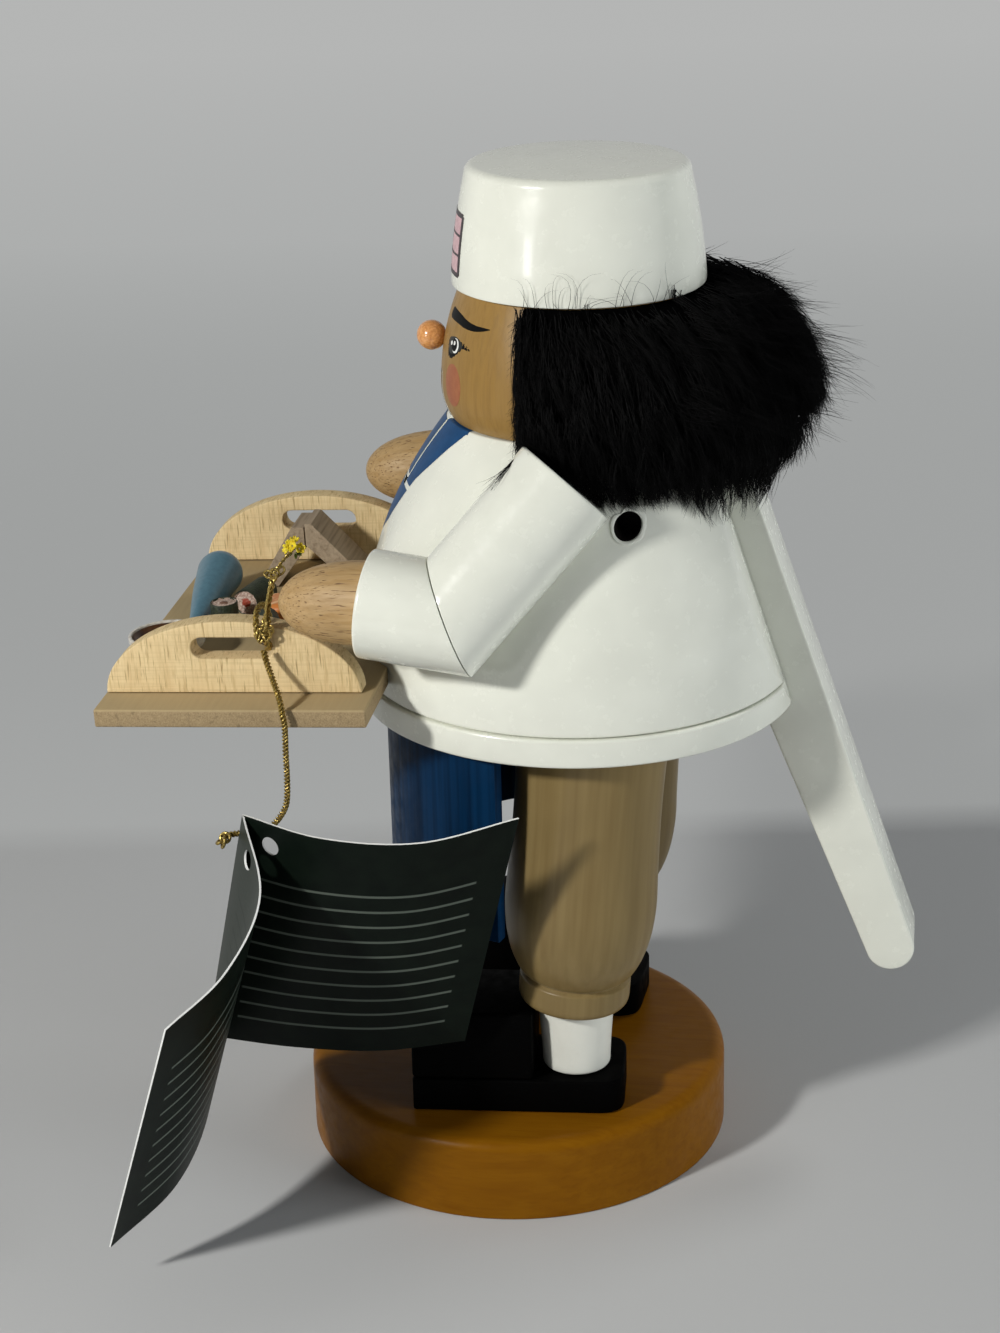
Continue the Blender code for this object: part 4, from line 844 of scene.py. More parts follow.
def make_shoe(side, word, black):
    """A sole slab with its toe block."""
    shoe = Matrix.Translation((SHOE_X * side, SHOE_Y, 0)) @ Matrix.Rotation(SHOE_TURN * side, 4, "Z")
    w, l = SOLE_WIDTH / 2, SOLE_LENGTH / 2
    corners = [SHOE_EDGE, SHOE_EDGE, SOLE_CORNER, SOLE_CORNER]
    plan = rounded([(-w, -l), (w, -l), (w, l), (-w, l)], corners, 10, closed=True)
    sole = slab(word + "_sole", [plan], SOLE_H - SEAT, 0.0006, 3)
    sole.data.transform(Matrix(((0, 1, 0, 0), (0, 0, 1, 0), (1, 0, 0, 0), (0, 0, 0, 1))))
    sole.matrix_world = shoe @ Matrix.Translation((0, 0, BASE_H + (SOLE_H + SEAT) / 2))
    dress(sole, black, "figure", [word + "_shoe_sole"])
    toe = block(word + "_toe", (SOLE_WIDTH, TOE_LENGTH, TOE_H - SEAT), (0, 0, 0), SHOE_EDGE, 4)
    toe_y, toe_z = (TOE_LENGTH - SOLE_LENGTH) / 2, SOLE_TOP + (TOE_H + SEAT) / 2
    toe.matrix_world = shoe @ Matrix.Translation((0, toe_y, toe_z))
    dress(toe, black, "figure", [word + "_toe_block"])


def make_sock_and_leg(side, word, sock_white, beige):
    """The white sock, cut off level with the leaning leg's foot, and the turned leg with its cuff."""
    up = Vector((0, sin(LEG_LEAN), cos(LEG_LEAN)))
    foot = Vector((LEG_X * side, LEG_FOOT_Y, LEG_FOOT))
    top, low, swell = LEG_FOOT + 0.002, SOLE_TOP + SEAT, SOCK_TOP_R - SOCK_FOOT_R
    wall = [(SOCK_FOOT_R + swell * t**1.4, low + (top - low) * t) for t in [k / 12 for k in range(12, 0, -1)]]
    end = rounded([wall[-1], (SOCK_FOOT_R, low), (0, low)], 0.0010)
    sock = revolve(word + "_sock_turned", [(0, top), *wall, *end[1:]], SMALL_TURN, (LEG_X * side, SOCK_Y, 0))
    cut(sock, half_space(foot - up * SEAT, up), edge=0.0003)
    dress(sock, sock_white, "figure", [word + "_sock"])

    rise, neck = (HEM_BOTTOM - LEG_FOOT) / cos(LEG_LEAN), CUFF_R - 0.0009
    outline = [
        (THIGH_R, rise + 0.004), (KNEE_R, 0.74 * rise), ((CALF_R + KNEE_R) / 2, 0.50 * rise),
        (CALF_R, CUFF_H + 0.0215), (0.0200, CUFF_H + 0.0130),
        (0.0184, CUFF_H + 0.0065), (0.0161, CUFF_H + 0.0016),
        (neck, CUFF_H),
    ]
    ring = rounded(
        [(neck, CUFF_H - 0.0004), (CUFF_R, CUFF_H - 0.0012), (CUFF_R, 0), (0, 0)], [0, 0.0008, 0.0025, 0], 6,
    )
    leg = revolve(word + "_leg_turned", [(0, rise + 0.004), *smooth_pairs(outline, 8), *ring], 96, foot, up)
    cut(leg, half_space((LEG_X * side, BODY_Y, HEM_BOTTOM - SEAT), (0, 0, 1)))
    dress(leg, beige, "figure", [word + "_leg"])


def make_feet():
    """Shoes, socks and legs."""
    black = Look("matte_black", (0.0008, 0.0008, 0.0008), 0.5, Specular_IOR_Level=0.02)
    black.set("Roughness", black.remap(black.noise(350, detail=4), 0.3, 0.7, 0.42, 0.65))
    dust = black.remap(black.noise(700, detail=5, rough=0.7), 0.62, 0.80, 0, 0.5)
    black.set("Base Color", black.mix(dust, (0.0012, 0.0012, 0.0012), (0.006, 0.006, 0.006)))
    black.bump(black.noise((120, 120, 900), detail=3), 0.00006)
    sock_white = gloss_paint(
        "sock_paint", (0.78, 0.785, 0.71), gloss=0.45, brush=(200, 200, 900), lumps=0.00030,
    )
    beige = Look("leg_stain", (0.225, 0.158, 0.064), 0.36, Specular_IOR_Level=0.3)
    grain = beige.noise((420, 420, 16), detail=3)
    broad = beige.noise((60, 60, 12), detail=2)
    tone = beige.mix(beige.remap(grain, 0.35, 0.70), (0.236, 0.170, 0.070), (0.193, 0.133, 0.051))
    beige.set("Base Color", beige.mix(beige.remap(broad, 0.45, 0.70, 0, 0.4), tone, (0.176, 0.120, 0.045)))
    beige.bump(grain, 0.00002)
    for side, word in SIDES:
        make_shoe(side, word, black)
        make_sock_and_leg(side, word, sock_white, beige)


def turn_about_pivot(point, angle):
    y, z = point[0] - PIVOT_Y, point[1] - PIVOT_Z
    return (PIVOT_Y + y * cos(angle) - z * sin(angle), PIVOT_Z + y * sin(angle) + z * cos(angle))


def handle_points(grow):
    down = Vector((sin(HANDLE_LEAN), -cos(HANDLE_LEAN)))
    front = Vector((-cos(HANDLE_LEAN), -sin(HANDLE_LEAN)))
    back_end = HANDLE_TOP + down * HANDLE_LENGTH
    front_top = HANDLE_TOP + down * 0.012 + front * (HANDLE_TOP_WIDTH + grow)
    front_end = back_end + front * (HANDLE_END_WIDTH + grow)
    return front_top, front_end, back_end, down


def lever_outline():
    """The lever from the jaw over the hub and down the handle, in Y and Z."""
    front_top, front_end, back_end, down = handle_points(0.0)
    end_r = HANDLE_END_WIDTH / 2
    end_centre = (front_end + back_end) / 2 - down * end_r
    tip = arc(end_centre, end_r, HANDLE_LEAN, HANDLE_LEAN - pi, 20)
    corner_y, hub_top = HANDLE_TOP.x - 0.0075, PIVOT_Z + HUB_R
    jaw_back, jaw_front = JAW_FRONT_Y + JAW_DEPTH, -0.0400
    head = [
        (jaw_front, JAW_FOOT_Z), (jaw_front, JAW_TOP_Z),
        (jaw_back, JAW_TOP_Z), (PIVOT_Y - 0.010, hub_top + 0.0010),
        (PIVOT_Y + 0.006, hub_top), (corner_y - 0.003, hub_top), (corner_y + 0.0025, hub_top - 0.0012),
        (corner_y + 0.0060, hub_top - 0.0038), tuple(HANDLE_TOP),
    ]
    head = rounded(head, [0, 0, 0.001, 0.003, 0.003, 0.004, 0.004, 0.004, 0.004], 5, closed=True)
    under = [(PIVOT_Y + 0.0075, PIVOT_Z - HUB_R * 0.72), (PIVOT_Y + 0.002, PIVOT_Z - HUB_R)]
    return [*head, *tip, tuple(front_top), *under, (-0.0180, JAW_FOOT_Z - 0.0004)]


def slot_outline():
    """The body's slot for the lever, for its jaw as it drops and for its hub as it turns."""
    front_top, front_end, _, _ = handle_points(LEVER_GAP)
    corner = (BODY_Y - tunic_radius(JAW_FOOT_Z) - LEVER_GAP, JAW_FOOT_Z - 2 * LEVER_GAP)
    last = JAW_OPEN + radians(1.0)
    sweep = [turn_about_pivot(corner, last * k / 24) for k in range(25)]
    heel = turn_about_pivot((PIVOT_Y + 0.002, PIVOT_Z - HUB_R - 3 * LEVER_GAP), last)
    hub = [heel, (PIVOT_Y + 0.006, PIVOT_Z - HUB_R - LEVER_GAP)]
    outside = [(0.16, 0.05), (0.16, 0.24)]
    return [(-0.06, 0.24), (-0.06, corner[1]), *sweep, *hub, tuple(front_top), tuple(front_end), *outside]


def body_slot():
    return slab("slot", [slot_outline()], LEVER_GROWN)


def envelope_profile():
    """One outline round head and body, to which the jaw's front is shaped."""
    lower = [(tunic_radius(CHIN - 0.001 * k) + BODY_SHIFT, CHIN - 0.001 * k) for k in range(1, 25)]
    upper = [(head_radius(CROWN - 0.001 * k), CROWN - 0.001 * k) for k in range(35)]
    return [(0, CROWN), *upper, *lower, (0, CHIN - 0.024)]


def make_lever(white):
    """The jaw lever in one plank, its jaw shaped to the figure's front."""
    lever = slab("lever_plank", [lever_outline()], LEVER_WIDTH, 0.0007, 3)
    waste = block("waste", (0.04, 0.06, 0.07), (0, -0.029, 0.205))
    cut(waste, revolve("envelope", envelope_profile(), TURN, (0, HEAD_Y, 0)))
    bore = rod("bore", PIN_R + PIN_GAP, (-0.02, PIVOT_Y, PIVOT_Z), (0.02, PIVOT_Y, PIVOT_Z))
    cut(lever, waste, bore)
    dress(lever, white, "lever", ["jaw_lever"])


def make_body(white):
    """The hem disc and the bell of the tunic."""
    place = (0, BODY_Y, 0)
    back_point, back_normal = (0, BODY_Y + BACK_DEPTH, HEM_TOP), (0, cos(BACK_LEAN), sin(BACK_LEAN))
    hem_line = [(0, HEM_TOP), (HEM_R, HEM_TOP), (HEM_R, HEM_BOTTOM), (0, HEM_BOTTOM)]
    hem = revolve("hem_turned", with_rims(hem_line, 0.0009, 5), TURN, place)
    cut(hem, half_space(back_point, back_normal), body_slot(), edge=0.0004)
    dress(hem, white, "figure", ["hem_disc"])
    tunic = revolve("tunic_turned", tunic_profile(edge=BELL_EDGE), TURN, place)
    bore = rod("bore", PIN_R + PIN_GAP, (-0.06, PIVOT_Y, PIVOT_Z), (0.06, PIVOT_Y, PIVOT_Z), steps=40)
    cut(tunic, half_space(back_point, back_normal), body_slot(), bore, edge=0.0004)
    dress(tunic, white, "figure", ["tunic"])


def make_apron():
    """The curved board in front of the legs."""
    stain = Look("navy_stain", (0.002, 0.018, 0.052), 0.40, Specular_IOR_Level=0.06)
    stain.mottle(((500, 500, 14), 3), 0.35, 0.70, (0.0025, 0.026, 0.075), (0.0012, 0.012, 0.036), 0.00003)
    stain.set("Roughness", stain.remap(stain.noise(260, detail=4), 0.3, 0.7, 0.30, 0.50))
    top, inner = HEM_BOTTOM - SEAT, APRON_R - APRON_WALL
    rim = [(APRON_R, top), (APRON_R, top - APRON_H), (inner, top - APRON_H), (inner, top)]
    rim = rounded(rim, 0.0007, 3, closed=True)
    columns, n = 72, len(rim)
    verts = []
    for a in [-pi / 2 - APRON_SPAN / 2 + APRON_SPAN * k / columns for k in range(columns + 1)]:
        verts += [(r * cos(a), BODY_Y + r * sin(a), z) for r, z in rim]
    ends = [tuple(reversed(range(n))), tuple(columns * n + i for i in range(n))]
    apron = solid("apron_curved", verts, quads(columns + 1, n, across=True) + ends)
    dress(apron, stain, "figure", ["apron"])


def on_bell(y, z):
    """How far out the bell's surface lies at a depth and a height."""
    return sqrt(max(0.0, tunic_radius(z) ** 2 - (y - BODY_Y) ** 2))


def make_pin(thick):
    """The steel pin in its bore, the bore's walls lined in near-black as painted shade, and a ragged ring of
    paint round each mouth.
    """
    # Pin and lining share one near-black colour: painted shade of the deep bore, darker than its steel and wood
    # would be.
    steel_painted_dark = Look("pin_steel", (0.006, 0.005, 0.005), 0.7, Specular_IOR_Level=0.1)
    steel_painted_dark.mottle((1500, 4), 0.4, 0.7, (0.003, 0.003, 0.003), (0.012, 0.009, 0.007), 0.00005)
    half = PIN_LENGTH / 2
    pin = rod("pin_turned", PIN_R, (-half, PIVOT_Y, PIVOT_Z), (half, PIVOT_Y, PIVOT_Z), 0.0004, 40)
    dress(pin, steel_painted_dark, "figure", ["pivot_pin"])
    shares = (0.0, 0.12, 0.35, 0.60, 0.82, 1.0)
    turns = 72
    angles = [2 * pi * k / turns for k in range(turns)]
    inner, outer = PIN_R - 0.0002, PIN_R + 0.00004
    for side, word in SIDES:
        verts = []
        for r, deep in ((inner, True), (inner, False), (outer, False), (outer, True)):
            for a in angles:
                y, z = PIVOT_Y + r * cos(a), PIVOT_Z + r * sin(a)
                verts.append(((half - 0.0010 if deep else on_bell(y, z) - 0.0001) * side, y, z))
        shade = solid(word + "_bore_shade", verts, quads(4, turns, across=True, along=True))
        dress(shade, steel_painted_dark, "figure", [])
        ragged = smooth_line([(r, 0, 0) for r in PIN_R + 0.0004 + 0.0012 * dice.random(18)], 4)
        verts = []
        for share in shares:
            rise = -0.0002 if share in (0.0, 1.0) else 0.00034 * sin(pi * share) ** 0.4
            for k, a in enumerate(angles):
                r = PIN_R + 0.00005 + (ragged[k % 68].x - PIN_R) * share
                y, z = PIVOT_Y + r * cos(a), PIVOT_Z + r * sin(a)
                verts.append(((on_bell(y, z) + rise) * side, y, z))
        rim = solid(word + "_bore_rim", verts, quads(len(shares), turns, across=True, flip=side > 0))
        dress(rim, thick, "figure", [], 80)


def make_dowels():
    """The plain wood of the dowels held inside."""
    birch = plain_wood(
        "dowel_birch", (0.60, 0.44, 0.24), (0.48, 0.33, 0.16), (200, 200, 30), (1500, 1500, 120), 0.6,
    )
    for name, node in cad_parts.items():
        if "dowel" in name:
            for entry in node.material_slots:
                entry.material = birch.material


def make_head(white, skin):
    """Head, cap and nose."""
    place = (0, HEAD_Y, SEAT)
    head = revolve("head_turned", head_profile(edge=0.0007), TURN, place)
    roof, hub_y = JAW_TOP_Z + LEVER_GAP, PIVOT_Y - 0.0080
    way = [
        (-0.06, CHIN - 0.02), (-0.06, roof), (JAW_FRONT_Y + JAW_DEPTH + 0.0008, roof),
        (hub_y, PIVOT_Z + HUB_R + 0.0020), (hub_y, CHIN - 0.02),
    ]
    cut(head, slab("mouth", [way], LEVER_GROWN), edge=0.0003)
    dress(head, skin, "figure", ["head"])
    cap = revolve("cap_turned", cap_profile(), TURN, place)
    dress(cap, white, "figure", ["cap"])

    lacquer = Look("nose_lacquer", (0.74, 0.35, 0.125), 0.20, Coat_Weight=0.6, Coat_Roughness=0.05)
    lacquer.mottle((1500, 2), 0.35, 0.7, (0.78, 0.38, 0.135), (0.55, 0.22, 0.065), 0.00002)
    nose_z, sunk = CHIN + NOSE_Z, 0.0005
    ball_y = HEAD_Y - head_radius(nose_z) - SEAT - NOSE_R + sunk
    flat = sqrt(NOSE_R**2 - (NOSE_R - sunk) ** 2)
    ball = [(NOSE_R * sin(a), NOSE_R * cos(a)) for a in [pi * k / 24 for k in range(20)]]
    peg_end = -NOSE_R - NOSE_PEG
    peg = [(flat, sunk - NOSE_R), (NOSE_PEG_R, sunk - NOSE_R), (NOSE_PEG_R, peg_end), (0, peg_end)]
    nose = revolve("nose_ball", [*ball, *peg], 40, (0, ball_y, nose_z), (0, -1, 0))
    dress(nose, lacquer, "figure", ["nose"])


def hand_profile(length, grow=0.0, over=0.0):
    """The hand's egg from its tip back into the cuff, and its tenon."""
    shares = (0.995, 0.985, 0.97, 0.95, 0.92, 0.88, 0.84, 0.78, 0.70, 0.60, 0.50, 0.35, 0.2, 0.1)
    egg = [(HAND_R * sqrt(1 - t**2.4) + grow, t * length) for t in shares]
    seat, end = -HAND_SEAT - over, -TENON - over
    return [
        (0, length + over), *egg, (HAND_R + grow, seat + 0.0006), (HAND_R - 0.0006 + grow, seat),
        (TENON_R + grow, seat), (TENON_R + grow, end), (0, end),
    ]


def tray_matrix():
    return Matrix.Translation((0, TRAY_Y, TRAY_Z)) @ Matrix.Rotation(TRAY_TILT, 4, "X")


def handle_matrix(side):
    return tray_matrix() @ Matrix.Translation(((HANDLE_X - HANDLE_WALL / 2) * side, 0, 0))


def arch_outline(grow=0.0):
    half, rise = ARCH_HALF + grow, ARCH_H - SEAT + grow
    return [(ARCH_Y - half * cos(a), SEAT + rise * sin(a)) for a in [pi * k / 64 for k in range(65)]]


def stadium():
    run = SLOT_HALF - SLOT_R
    front = arc((SLOT_Y + run, SLOT_Z), SLOT_R, -pi / 2, pi / 2, 16)
    return [*front, *arc((SLOT_Y - run, SLOT_Z), SLOT_R, pi / 2, 3 * pi / 2, 16)]


def arm_rod(name, elbow, end, mitre, cutters):
    """One rod of an arm, cut to the mitre at the elbow, then by other shapes and by the tunic."""
    reach = (elbow - end).normalized() * ARM_R * 1.2
    made = rod(name, ARM_R, elbow + reach, end, ARM_EDGE, 96, 0.002)
    cut(made, half_space(elbow + mitre * SEAT / 2, -mitre), edge=0.0006, segments=3)
    cut(made, *cutters, revolve("saddle", tunic_profile(SEAT, SEAT), TURN, (0, BODY_Y, 0)))
    return made


def make_arms(white):
    """Upper arms, forearms and hands."""
    beech = plain_wood(
        "hand_beech", (0.48, 0.325, 0.155), (0.39, 0.245, 0.10), (90, 90, 10), (900, 900, 60), 0.50,
    )
    flecked(beech, (2300, 2300, 150), 0.60, 0.68, (0.16, 0.085, 0.035))
    for side, word in SIDES:
        shoulder, elbow, wrist, fingers = (mirrored(p, side) for p in (SHOULDER, ELBOW, WRIST, FINGERS))
        mitre = ((shoulder - elbow).normalized() - (wrist - elbow).normalized()).normalized()
        upper = arm_rod(word + "_arm_upper", elbow, shoulder, mitre, [])
        dress(upper, white, "figure", [word + "_upper_arm"])
        along, length = (fingers - wrist).normalized(), (fingers - wrist).length
        socket = revolve("socket", hand_profile(length, PEG_GAP, SEAT), SMALL_TURN, wrist, along)
        fore = arm_rod(word + "_arm_fore", elbow, wrist, -mitre, [socket])
        dress(fore, white, "figure", [word + "_forearm"])
        hand = revolve(word + "_hand_turned", hand_profile(length), 72, wrist, along)
        seat = slab("seat", [arch_outline(SEAT)], HANDLE_WALL + 2 * SEAT)
        seat.matrix_world = handle_matrix(side)
        cut(hand, seat)
        dress(hand, beech, "figure", [word + "_hand"])


def make_tray():
    """Board and handles."""
    grain, lines = (40, 70, 8), (120, 40, 1500)
    spruce = plain_wood("tray_spruce", (0.76, 0.60, 0.335), (0.67, 0.50, 0.26), grain, lines, 0.66, warp=0.4)
    flecked(spruce, (300, 1300, 120), 0.53, 0.68, (0.58, 0.43, 0.215), 0.00003)
    flecked(spruce, (500, 2300, 170), 0.60, 0.72, (0.40, 0.28, 0.125), 0.00003)
    board_wood = pressed_board("board_fibre", (0.36, 0.27, 0.15), (0.26, 0.185, 0.098))
    # The top face takes a lighter plain tone than the speckled edges: a plain top, made lighter also as painted
    # light against the shade that falls on it.
    face = board_wood.remap(board_wood.axis(2), BOARD_H / 2 - 0.0007, BOARD_H / 2 - 0.0003)
    grain = board_wood.mix(
        board_wood.noise((60, 900, 60), detail=3), (0.43, 0.33, 0.178), (0.365, 0.274, 0.146),
    )
    board_wood.set("Base Color", board_wood.mix(face, board_wood.tone, grain))
    board = block("board_sawn", (2 * BOARD_HALF, BOARD_DEPTH, BOARD_H), (0, 0, 0), 0.0005, 3)
    board.matrix_world = tray_matrix() @ Matrix.Translation((0, -BOARD_DEPTH / 2, -BOARD_H / 2))
    belly_r = TUNIC_FOOT_R + SEAT
    belly = [(0, 0.19), (belly_r, 0.19), (belly_r, 0.12), (0, 0.12)]
    cut(board, revolve("belly", belly, TURN, (0, BODY_Y, 0)))
    dress(board, board_wood, "figure", ["tray_board"])
    for side, word in SIDES:
        handle = slab(word + "_handle_sawn", [arch_outline(), stadium()], HANDLE_WALL, 0.0004, 3)
        handle.matrix_world = handle_matrix(side)
        dress(handle, spruce, "figure", [word + "_tray_handle"])


def on_tray(x, y, z):
    return tray_matrix() @ Matrix.Translation((x, y, z))


def make_fish():
    """A smooth blue drop that tapers to a small round tip."""
    blue = Look("fish_blue", (0.085, 0.175, 0.225), 0.34, Coat_Weight=0.15, Coat_Roughness=0.15)
    blue.mottle((800, 4), 0.35, 0.70, (0.092, 0.190, 0.245), (0.075, 0.158, 0.208), 0.00005, (500, 3))
    taper = FISH_R - FISH_TAIL_R
    wall = smooth_pairs([
        (FISH_R, 0), (FISH_TAIL_R + taper * 0.62, -FISH_LENGTH * 0.42),
        (FISH_TAIL_R * 1.3, -FISH_LENGTH * 0.85),
        (FISH_TAIL_R, -FISH_LENGTH),
    ], 8)
    ball = [(FISH_R * sin(a), FISH_R * cos(a)) for a in [pi * k / 32 for k in range(16)]]
    tip = [
        (FISH_TAIL_R * cos(a), -FISH_LENGTH - FISH_TAIL_R * sin(a)) for a in [pi * k / 16 for k in range(1, 8)]
    ]
    fish = revolve("fish_turned", [*ball, *wall, *tip, (0, -FISH_LENGTH - FISH_TAIL_R)], SMALL_TURN)
    fish.matrix_world = on_tray(FISH_X, FISH_Y, FISH_R + SEAT) @ upright((-1, 0, taper / FISH_LENGTH))
    dress(fish, blue, "figure", ["fish"], 60)


def roll_look(name, middle):
    """Dark green leaf outside, and pale grains round a coloured middle at the ends."""
    look = Look(name + "_look", (0.03, 0.04, 0.02), 0.6)
    squares = [look.math("POWER", look.axis(index), 2.0) for index in (0, 1)]
    out = look.math("SQRT", look.math("ADD", *squares))
    out = look.math("ADD", out, look.remap(look.noise(900, detail=2), 0.3, 0.7, -0.0003, 0.0003))
    grains = look.cells(1500)
    rice = look.mix(look.remap(grains, 0.2, 0.7), (0.62, 0.50, 0.42), (0.34, 0.23, 0.18))
    tone = look.mix(look.remap(out, 0.00125, 0.00140), middle, rice)
    leaf = look.mix(
        look.remap(look.noise(600, detail=4), 0.4, 0.7), (0.012, 0.020, 0.010), (0.035, 0.045, 0.022),
    )
    look.set("Base Color", look.mix(look.remap(out, 0.00335, 0.00345), tone, leaf))
    look.bump(grains, 0.00018)
    return look


def make_rolls():
    """Rolls in dark green sheet with pale grains and a coloured middle at their ends."""
    for name, place, along, length, middle in ROLLS:
        half, rim = length / 2, ROLL_R - ROLL_EDGE
        end = [
            (0, half - 0.0002), (0.0010, half - 0.0002), (0.0013, half - 0.00045), (0.0022, half - 0.0003),
            (rim - 0.0001, half - 0.00045), (rim, half - 0.0001),
            (ROLL_R - 0.0001, half), (ROLL_R, half - 0.0002),
        ]
        wall = [(ROLL_R * (1 + 0.012 * sin(9 * pi * k / 8)), half - length * k / 8) for k in range(1, 8)]
        made = revolve(name + "_rolled", [*end, *wall, *[(r, -z) for r, z in reversed(end)]], 48)
        lift = half if along[2] else ROLL_R
        made.matrix_world = on_tray(*place, lift + SEAT) @ upright(along)
        dress(made, roll_look(name, middle), "figure", [name], 50)


def make_dish():
    """A small white dish with dark sauce in it."""
    glaze = Look("dish_glaze", (0.60, 0.58, 0.52), 0.22, Coat_Weight=0.4)
    glaze.mottle((700, 4), 0.4, 0.8, (0.64, 0.62, 0.56), (0.40, 0.34, 0.26), 0.00008, (300, 3))
    sauce = Look("dish_sauce", (0.070, 0.028, 0.010), 0.32, Coat_Weight=0.1)
    sauce.mottle((500, 3), 0.35, 0.7, (0.095, 0.038, 0.013), (0.035, 0.012, 0.005), 0.00010, (260, 3))
    brim, deep, top = DISH_R - DISH_WALL, DISH_H - 0.0045, DISH_H - DISH_RECESS
    line = [
        (0, deep), (brim - 0.0016, deep), (brim - 0.0005, deep + 0.0012), (brim, DISH_H), (DISH_R, DISH_H),
        (DISH_R - 0.0002, 0.6 * DISH_H), (DISH_FOOT_R, SEAT), (0, SEAT),
    ]
    line = rounded(line, [0, 0.0005, 0.0005, 0.00045, 0.00045, 0.002, 0.0004, 0], 5)
    dish = revolve("dish_thrown", line, SMALL_TURN)
    dish.matrix_world = on_tray(*DISH_PLACE)
    dress(dish, glaze, "figure", ["sauce_dish"], 50)
    wet = [
        (0, top), (0.006, top), (brim - 0.0014, top + 0.0001), (brim - 0.0004, top + 0.0012),
        (brim - 0.00005, DISH_H - 0.0005), (brim + 0.0001, DISH_H - 0.0006), (brim - 0.0002, top - 0.0004),
        (0, top - 0.0006),
    ]
    pool = revolve("sauce", wet, SMALL_TURN)
    pool.matrix_world = on_tray(*DISH_PLACE)
    dress(pool, sauce, "figure", [], 60)


def make_salmon():
    """A striped orange piece with soft edges."""
    look = Look("salmon", (0.55, 0.19, 0.05), 0.35)
    stripes = look.noise((90, 700, 300), 1.0, detail=2, warp=0.8, turn=(0, 0, 0.7))
    look.set("Base Color", look.mix(look.remap(stripes, 0.52, 0.60), (0.56, 0.19, 0.045), (0.72, 0.42, 0.20)))
    look.bump(stripes, 0.00020)
    made = block("salmon_cut", SALMON_SIZE, (0, 0, 0), SALMON_EDGE, 6)
    made.matrix_world = on_tray(*SALMON_PLACE, SALMON_SIZE.z / 2 + SEAT)
    dress(made, look, "figure", ["salmon_piece"], 50)


def make_slats():
    """Two slats of grey-brown wood leaned together."""
    wood = plain_wood(
        "slat_wood", (0.37, 0.29, 0.20), (0.24, 0.178, 0.115), (6, 90, 90), (40, 1300, 1300), 0.7,
    )
    for name, outline in (("slat_steep", STEEP_SLAT), ("slat_leaning", LEANING_SLAT)):
        made = slab(name + "_sawn", [outline], SLAT_WIDTH, 0.0002, 3)
        made.matrix_world = on_tray(SLAT_X, 0, 0)
        dress(made, wood, "figure", [name])


def make_meal():
    make_fish()
    make_rolls()
    make_dish()
    make_salmon()
    make_slats()


def ring_patch(name, outline, surface, lift, dome):
    """A thin painted patch on a turned surface: rings of points from an outline's middle to the outline."""
    outline = [Vector(p) for p in outline]
    middle = sum(outline, Vector((0, 0))) / len(outline)
    verts, n, rings = [surface(middle.x, middle.y, lift + dome)], len(outline), 8
    for t in [k / rings for k in range(1, rings + 1)]:
        spots = [middle.lerp(p, t) for p in outline]
        verts += [surface(spot.x, spot.y, lift + dome * (1 - t**4)) for spot in spots]
    verts += [surface(p.x, p.y, -0.00005) for p in outline]
    faces = [(0, 1 + i, 1 + (i + 1) % n) for i in range(n)]
    return facing_out(solid(name, verts, faces + quads(rings + 1, n, 1, across=True, flip=True)))


def stroke_patch(name, line, widths, surface, lift):
    """A brush stroke along a line of azimuth and height, with half its width in metres at each point."""
    verts = []
    line = [Vector(p) for p in line]
    rows = 8
    for i, p in enumerate(line):
        ahead = line[min(i + 1, len(line) - 1)] - line[max(i - 1, 0)]
        run = Vector((ahead.x * HEAD_R, ahead.y)).normalized()
        across = Vector((-run.y / HEAD_R, run.x))
        for t in [k / rows * 2 - 1 for k in range(rows + 1)]:
            edge = -0.00003 if abs(t) == 1 else lift * sqrt(1 - 0.6 * t * t)
            spot = p + across * widths[i] * t
            verts.append(surface(spot.x, spot.y, edge))
    return facing_out(solid(name, verts, quads(len(line), rows + 1)))


def facing_out(made):
    """Faces turned to look away from the figure's axis."""
    work = bmesh.new()
    work.from_mesh(made.data)
    bmesh.ops.remove_doubles(work, verts=work.verts, dist=0.000001)
    total = 0.0
    for face in work.faces:
        out = face.calc_center_median() - Vector((0, HEAD_Y, 0))
        total += face.normal.x * out.x + face.normal.y * out.y
    if total < 0:
        bmesh.ops.reverse_faces(work, faces=work.faces)
    work.to_mesh(made.data)
    work.free()
    return made


def on_head(side):
    """A point on the head from an azimuth in radians and a height."""
    return lambda azimuth, z, lift: surface_point(head_radius, HEAD_Y, azimuth * side, z, lift)


def smooth_loop(points, per_span):
    """A closed smooth outline through points."""
    line = smooth_pairs([*points[-2:], *points, *points[:2]], per_span)
    return line[2 * per_span:(2 + len(points)) * per_span]


def degrees_line(points):
    return [(radians(a), z / 1000) for a, z in points]


def oval(azimuth, height, half_width, half_height, count):
    """An oval outline about a place on the face, in degrees and millimetres."""
    turns = [2 * pi * k / count for k in range(count)]
    return degrees_line([(azimuth + half_width * cos(a), height + half_height * sin(a)) for a in turns])


